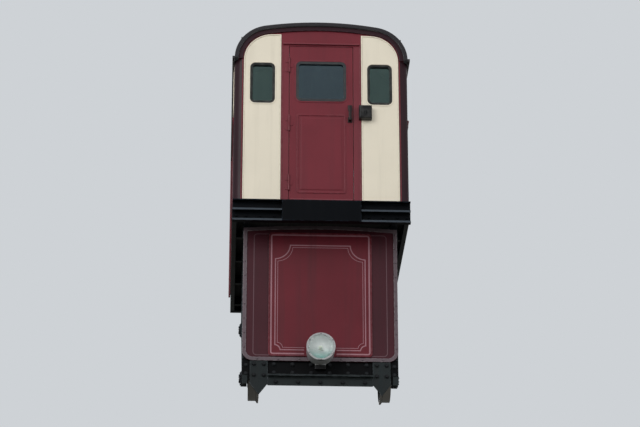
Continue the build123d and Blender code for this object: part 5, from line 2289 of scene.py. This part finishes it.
@dataclass
class Underframe(Assembly):
    """Gussets, bolts, rivets and cap screws of the wedge frame and its running gear."""

    stock_bolt_x: float = 0.835
    stock_bolt_z: Span = (0.14, 0.24)
    beam_bolt_x: Span = (-0.52, 0.52)
    beam_bolt_z: Span = (0.155, 0.255)
    iron_bolt_x: Span = (-0.055, 0.055)
    iron_bolt_z: Span = (0.12, 0.25)
    guard_bolt_x: Span = (-0.5, 0.5)
    gusset: float = 0.16
    gusset_lip: float = 0.06
    plate: float = 0.008
    plate_back: float = 0.028
    post_half: float = 0.030
    rivet_row: float = 0.035
    sole_rivets_along: Span = (-0.1, 2.45)
    sole_rivets_up: Span = (0.36, 0.48)
    sole_rivet_count: int = 18
    sole_web: float = 0.050
    beam_rivet_count: int = 22
    beam_end: float = 0.080
    cap_circle: float = 0.040
    cap_count: int = 6
    corner_depth: float = 0.016
    corners_along: Span = (-0.058, 0.058)
    corners_up: Span = (-0.052, 0.050)
    lug_inset: float = 0.006
    lug_width: float = 0.056
    lug_foot: float = 0.130
    lug_top: float = 0.045
    lug_plate: float = 0.012
    lug_depth: float = 0.050

    @property
    def posts(self) -> list[float]:
        """The three posts' middles along the car."""
        return spread(grown(self.layout.wedge.y, -self.post_half), 3)

    def build(self) -> None:
        """Makes every piece."""
        self.add_headstock_bolts()
        self.add_guard_lugs()
        self.add_gussets()
        self.add_frame_rivets()
        self.add_axlebox_screws()

    def add_headstock_bolts(self) -> None:
        """Bolts through the headstock, the guard irons and the guard bar."""
        stock, irons, guard = self.layout.headstock, self.layout.irons, self.layout.guard
        iron = irons.x[1] - 0.1
        spots = [(side * self.stock_bolt_x, stock.y[0], z) for side in (-1, 1) for z in self.stock_bolt_z]
        spots += [(x, stock.y[0], z) for x in spread(self.beam_bolt_x, 6) for z in self.beam_bolt_z]
        spots += [
            (side * iron + across, irons.y[0], z)
            for side in (-1, 1) for across in self.iron_bolt_x for z in self.iron_bolt_z
        ]
        spots += [(x, guard.y[1] - 0.02, mid(guard.z) - 0.02) for x in spread(self.guard_bolt_x, 5)]
        dress(Bolt(1.15).at("headstock_bolts", [facing(spot, DOWNHILL) for spot in spots]), FRAME_BLACK)

    def add_guard_lugs(self) -> None:
        """Short angle lugs that hang from the headstock outside each guard iron."""
        stock, foot = self.layout.headstock, self.layout.irons.z[0] + self.lug_foot
        face, outer, plate = stock.y[0], stock.x[1] - self.lug_inset, self.lug_plate
        top = stock.z[0] + self.lug_top
        lug = block("lug", (outer - self.lug_width, outer), (face - plate, face), (foot, top))
        web = block("web", (outer - plate, outer), (face - 0.001, face + self.lug_depth), (foot, stock.z[0]))
        both_sides("guard_lugs", join("guard_lugs", [ease(piece, 0.002) for piece in (lug, web)]), GUARD_GREY)

    def add_gussets(self) -> None:
        """Riveted corner plates where the posts meet the platform; the lowest post has one uphill only."""
        plates = [
            self.corner_plate(y, side)
            for y in self.posts for side in (-1, 1) if side > 0 or y > self.posts[0]
        ]
        both_sides("gussets", join("gussets", plates), FRAME_BLACK)

    def corner_plate(self, y: float, side: int) -> Object:
        """A three-cornered plate with rivets.

        Args:
            y: The post's middle.
            side: 1 for uphill of the post, -1 for downhill.

        Returns:
            The plate.
        """
        x, top, size, row = self.layout.wedge.x[1], self.layout.beams.z[0], self.gusset, self.rivet_row
        ends = tuple(sorted((y - side * self.plate_back, y + side * size)))
        plate = block("gusset", (x, x + self.plate), ends, (top - size, top + self.gusset_lip))
        with editing(plate):
            pick_points(plate, lambda place: (
                place.z < top - size + 0.01 and (place.y - y) * side > size * 0.5
            ))
            bpy.ops.transform.translate(value=(0, -side * (size - 0.030), 0))
        ease(plate, 0.002)
        spots = [
            (0, -size * 0.75), (0, -size * 0.35), (0, row), (side * 0.055, row), (side * 0.11, row),
        ]
        places = [facing((x + self.plate, y + along, top + up), RIGHT) for along, up in spots]
        return join("gusset", [plate, Rivet().at("rivets", places)])

    def add_frame_rivets(self) -> None:
        """Rows of rivets along the sole bars' webs and the platform beams."""
        soles, beams = self.layout.soles, self.layout.beams
        turn = Matrix.Rotation(self.layout.slope, 4, "X")
        places = [
            turn @ facing((soles.x[1] - self.sole_web, along, above), RIGHT)
            for along in spread(self.sole_rivets_along, self.sole_rivet_count)
            for above in self.sole_rivets_up
        ]
        beam_places = spread(grown(beams.y, -self.beam_end), self.beam_rivet_count)
        places += [facing((beams.x[1], y, mid(beams.z)), RIGHT) for y in beam_places]
        both_sides("frame_rivets", Rivet().at("frame_rivets", places), FRAME_BLACK)

    def add_axlebox_screws(self) -> None:
        """Cap screws and corner screws on each axlebox."""
        slope, face = self.layout.slope, self.layout.axleboxes.x[1]
        turn = Matrix.Rotation(slope, 3, "X")
        pieces = []
        for axle in (self.layout.lower_axle, self.layout.upper_axle):
            y, z = mid(axle.y), mid(axle.z)
            caps = ring((face, y, z), self.cap_circle, self.cap_count, RIGHT, slope)
            pieces.append(Bolt(0.42).at("cap_screws", caps))
            corners = [
                facing(Vector((face - self.corner_depth, y, z)) + turn @ Vector((0, along, above)), RIGHT)
                for along in self.corners_along for above in self.corners_up
            ]
            pieces.append(Bolt(0.6).at("box_screws", corners))
        both_sides("axlebox_screws", join("axlebox_screws", pieces), FRAME_BLACK)


@dataclass
class Wheelsets(Assembly):
    """Details that turn with the axles."""

    hub_x: float = 0.6725
    bolt_circle: float = 0.080
    bolt_count: int = 8

    def build(self) -> None:
        """A ring of bolts on the outer end of each hub."""
        for body, axle, finish in (
            ("lower_wheelset", self.layout.lower_axle, LOWER_STEEL),
            ("upper_wheelset", self.layout.upper_axle, UPPER_STEEL),
        ):
            name = f"{body}_bolts"
            places = ring((self.hub_x, mid(axle.y), mid(axle.z)), self.bolt_circle, self.bolt_count, LEFT)
            both_sides(name, Bolt(0.5).at(name, places), finish, body)


@dataclass
class Interior(Assembly):
    """What shows through the glass: slatted seats, pole flanges and lamp rims."""

    seat_depth: float = 0.400
    seat_slats: int = 7
    back_slats: int = 5
    leg: float = 0.050
    supports: int = 4
    pole_radius: float = 0.016
    flange_radius: float = 0.045
    rim: float = 0.008

    def build(self) -> None:
        """Makes every piece."""
        self.add_seats()
        self.add_backs()
        self.add_flanges()
        self.add_lamp_rims()

    def add_seats(self) -> None:
        """Seats of slats on trestles."""
        seats, leg = self.layout.seats, self.leg
        wall, front = seats.x[1], seats.x[1] - self.seat_depth
        foot, top = seats.z
        pitch = (wall - front) / self.seat_slats
        slat = block("slat", (0, pitch - 0.008), seats.y, (top - 0.022, top))
        ease(slat, 0.005, 3)
        slats = repeat("slats", slat, [moved(front + pitch * n, 0, 0) for n in range(self.seat_slats)])
        parts = [
            block("leg", (front + 0.030, front + 0.080), (0, leg), (foot, top - 0.040)),
            block("rail", (front + 0.030, wall), (0, leg), (top - 0.075, top - 0.021)),
            block("back_leg", (wall - leg, wall), (0, leg), (foot, top - 0.040)),
        ]
        trestle = join("trestle", [ease(part, 0.004) for part in parts])
        starts = spread((seats.y[0], seats.y[1] - leg), self.supports)
        trestles = repeat("trestles", trestle, [moved(0, y, 0) for y in starts])
        both = both_sides("slatted_seats", join("slatted_seats", [slats, trestles]), SLATS)
        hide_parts("bench_seats")

    def add_backs(self) -> None:
        """Backs of long slats on upright battens."""
        backs = self.layout.backs
        wall, foot = backs.x[1], backs.z[0]
        pitch = (backs.z[1] - foot) / self.back_slats
        slat = block("slat", (wall - 0.025, wall - 0.008), backs.y, (0, pitch - 0.010))
        ease(slat, 0.004, 3)
        rows = repeat("rows", slat, [moved(0, 0, foot + pitch * n + 0.005) for n in range(self.back_slats)])
        batten = block("batten", (wall - 0.009, wall), around(0, 0.025), backs.z)
        places = [moved(0, y, 0) for y in spread(grown(backs.y, -0.1), self.supports)]
        battens = repeat("battens", ease(batten, 0.002), places)
        both = both_sides("slatted_backs", join("slatted_backs", [rows, battens]), SLATS)
        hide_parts("bench_backs")

    def add_flanges(self) -> None:
        """A flange at the foot of each grab pole."""
        poles, floor = self.layout.poles, self.layout.floor
        flange = disc("flange", self.flange_radius, 0.006, AT_ORIGIN, 28)
        with editing(flange):
            pick_faces(flange, looking(UP))
            bpy.ops.mesh.inset(thickness=0.022, depth=0)
            extrude(0, 0, 0.014)
        ease(flange, 0.002)
        x, ends = poles.x[1] - self.pole_radius, grown(poles.y, -self.pole_radius)
        places = [moved(side * x, y, floor) for side in (-1, 1) for y in ends]
        dress(repeat("pole_flanges", flange, places), CHROME)

    def add_lamp_rims(self) -> None:
        """A metal rim round each ceiling lamp."""
        lights = self.layout.lights
        radius = lights.x[1]
        rim = disc("rim", radius + self.rim, 0.010, AT_ORIGIN, 40)
        with editing(rim):
            pick_faces(rim, lambda middle, normal: abs(normal.z) > 0.9)
            bpy.ops.mesh.inset(thickness=0.012, depth=0)
            bpy.ops.mesh.bridge_edge_loops()
        face_outwards(rim)
        ease(rim, 0.002)
        places = [moved(0, y, lights.z[0] + 0.022) for y in grown(lights.y, -radius)]
        dress(repeat("lamp_rims", rim, places), CHROME)


NODE_FINISHES: dict[str, Finish] = {
    "window_glass": WINDOW,
    "front_door_glass": DOOR_WINDOW,
    "rear_door_glass": DOOR_WINDOW,
}

SOFT_NODES: dict[str, tuple[float, Finish]] = {
    "sole_bars": (0.003, FRAME_BLACK),
    "wedge_posts": (0.004, FRAME_BLACK),
    "wedge_braces": (0.003, FRAME_BLACK),
    "cross_ties": (0.004, FRAME_BLACK),
    "lower_headstock": (0.006, STOCK_BLACK),
    "axleboxes": (0.004, FRAME_BLACK),
    "axlebox_guides": (0.003, FRAME_BLACK),
    "track_brakes": (0.004, FRAME_BLACK),
    "draw_beam": (0.004, FRAME_BLACK),
    "rope_clevises": (0.004, FRAME_BLACK),
    "front_panel": (0.003, APRON_MAROON),
    "panel_rim": (0.004, GREY_TRIM),
    "sign_board": (0.003, BOARD_MAROON),
    "guard_irons": (0.004, GUARD_GREY),
    "guard_bar": (0.004, GUARD_GREY),
    "platform_longitudinals": (0.004, FRAME_BLACK),
    "cross_bearers": (0.004, FRAME_BLACK),
    "side_rails": (0.003, FRAME_BLACK),
    "end_sills": (0.003, SILL_BLACK),
    "floor_deck": (0.002, DECK),
    "side_lower_panels": (0.003, MAROON),
    "side_window_panels": (0.003, MAROON),
    "corner_posts": (0.003, MAROON_DARK_AND_SHADE),
    "end_panels": (0.003, MAROON),
    "door_posts": (0.003, MAROON_POST_HIGHLIGHT),
    "door_headers": (0.003, MAROON),
    "window_gaskets": (0.008, GASKET),
    "lock_boxes": (0.004, CASE_BLACK),
    "roof": (0.006, ROOF_GREY),
    "roof_rims": (0.004, MAROON_DARK_AND_SHADE),
    "gutters": (0.001, GUTTER_GREY),
    "grab_poles": (0.0, CHROME),
    "ceiling_lights": (0.008, OPAL),
    "front_door_leaf": (0.003, MAROON),
    "front_door_gasket": (0.008, DOOR_GASKET),
    "front_door_handle": (0.006, HANDLE),
    "rear_door_leaf": (0.003, MAROON),
    "rear_door_gasket": (0.008, DOOR_GASKET),
    "rear_door_handle": (0.006, HANDLE),
    "lower_axle": (0.003, LOWER_STEEL),
    "lower_wheels": (0.003, LOWER_STEEL),
    "upper_axle": (0.003, UPPER_STEEL),
    "upper_wheels": (0.003, UPPER_STEEL),
}


def dress_nodes() -> None:
    """Gives the CAD nodes that stay their materials."""
    for node, finish in NODE_FINISHES.items():
        piece = frame["nodes"][node]
        piece.data.materials.clear()
        piece.data.materials.append(finish.material())
        log.info("%s keeps its CAD shape", node)


def main() -> None:
    """Builds the looks in order."""
    logging.basicConfig(level=logging.INFO, format="%(name)s: %(message)s")
    Studio().build()
    dress_nodes()
    SoftEdges(SOFT_NODES).build()
    layout = Layout()
    for assembly in (Apron, Headlamp, Sill, CabinEnd, Doors, Sides, Roofing, Underframe, Wheelsets, Interior):
        assembly(layout).build()


if __name__ == "__main__":
    main()
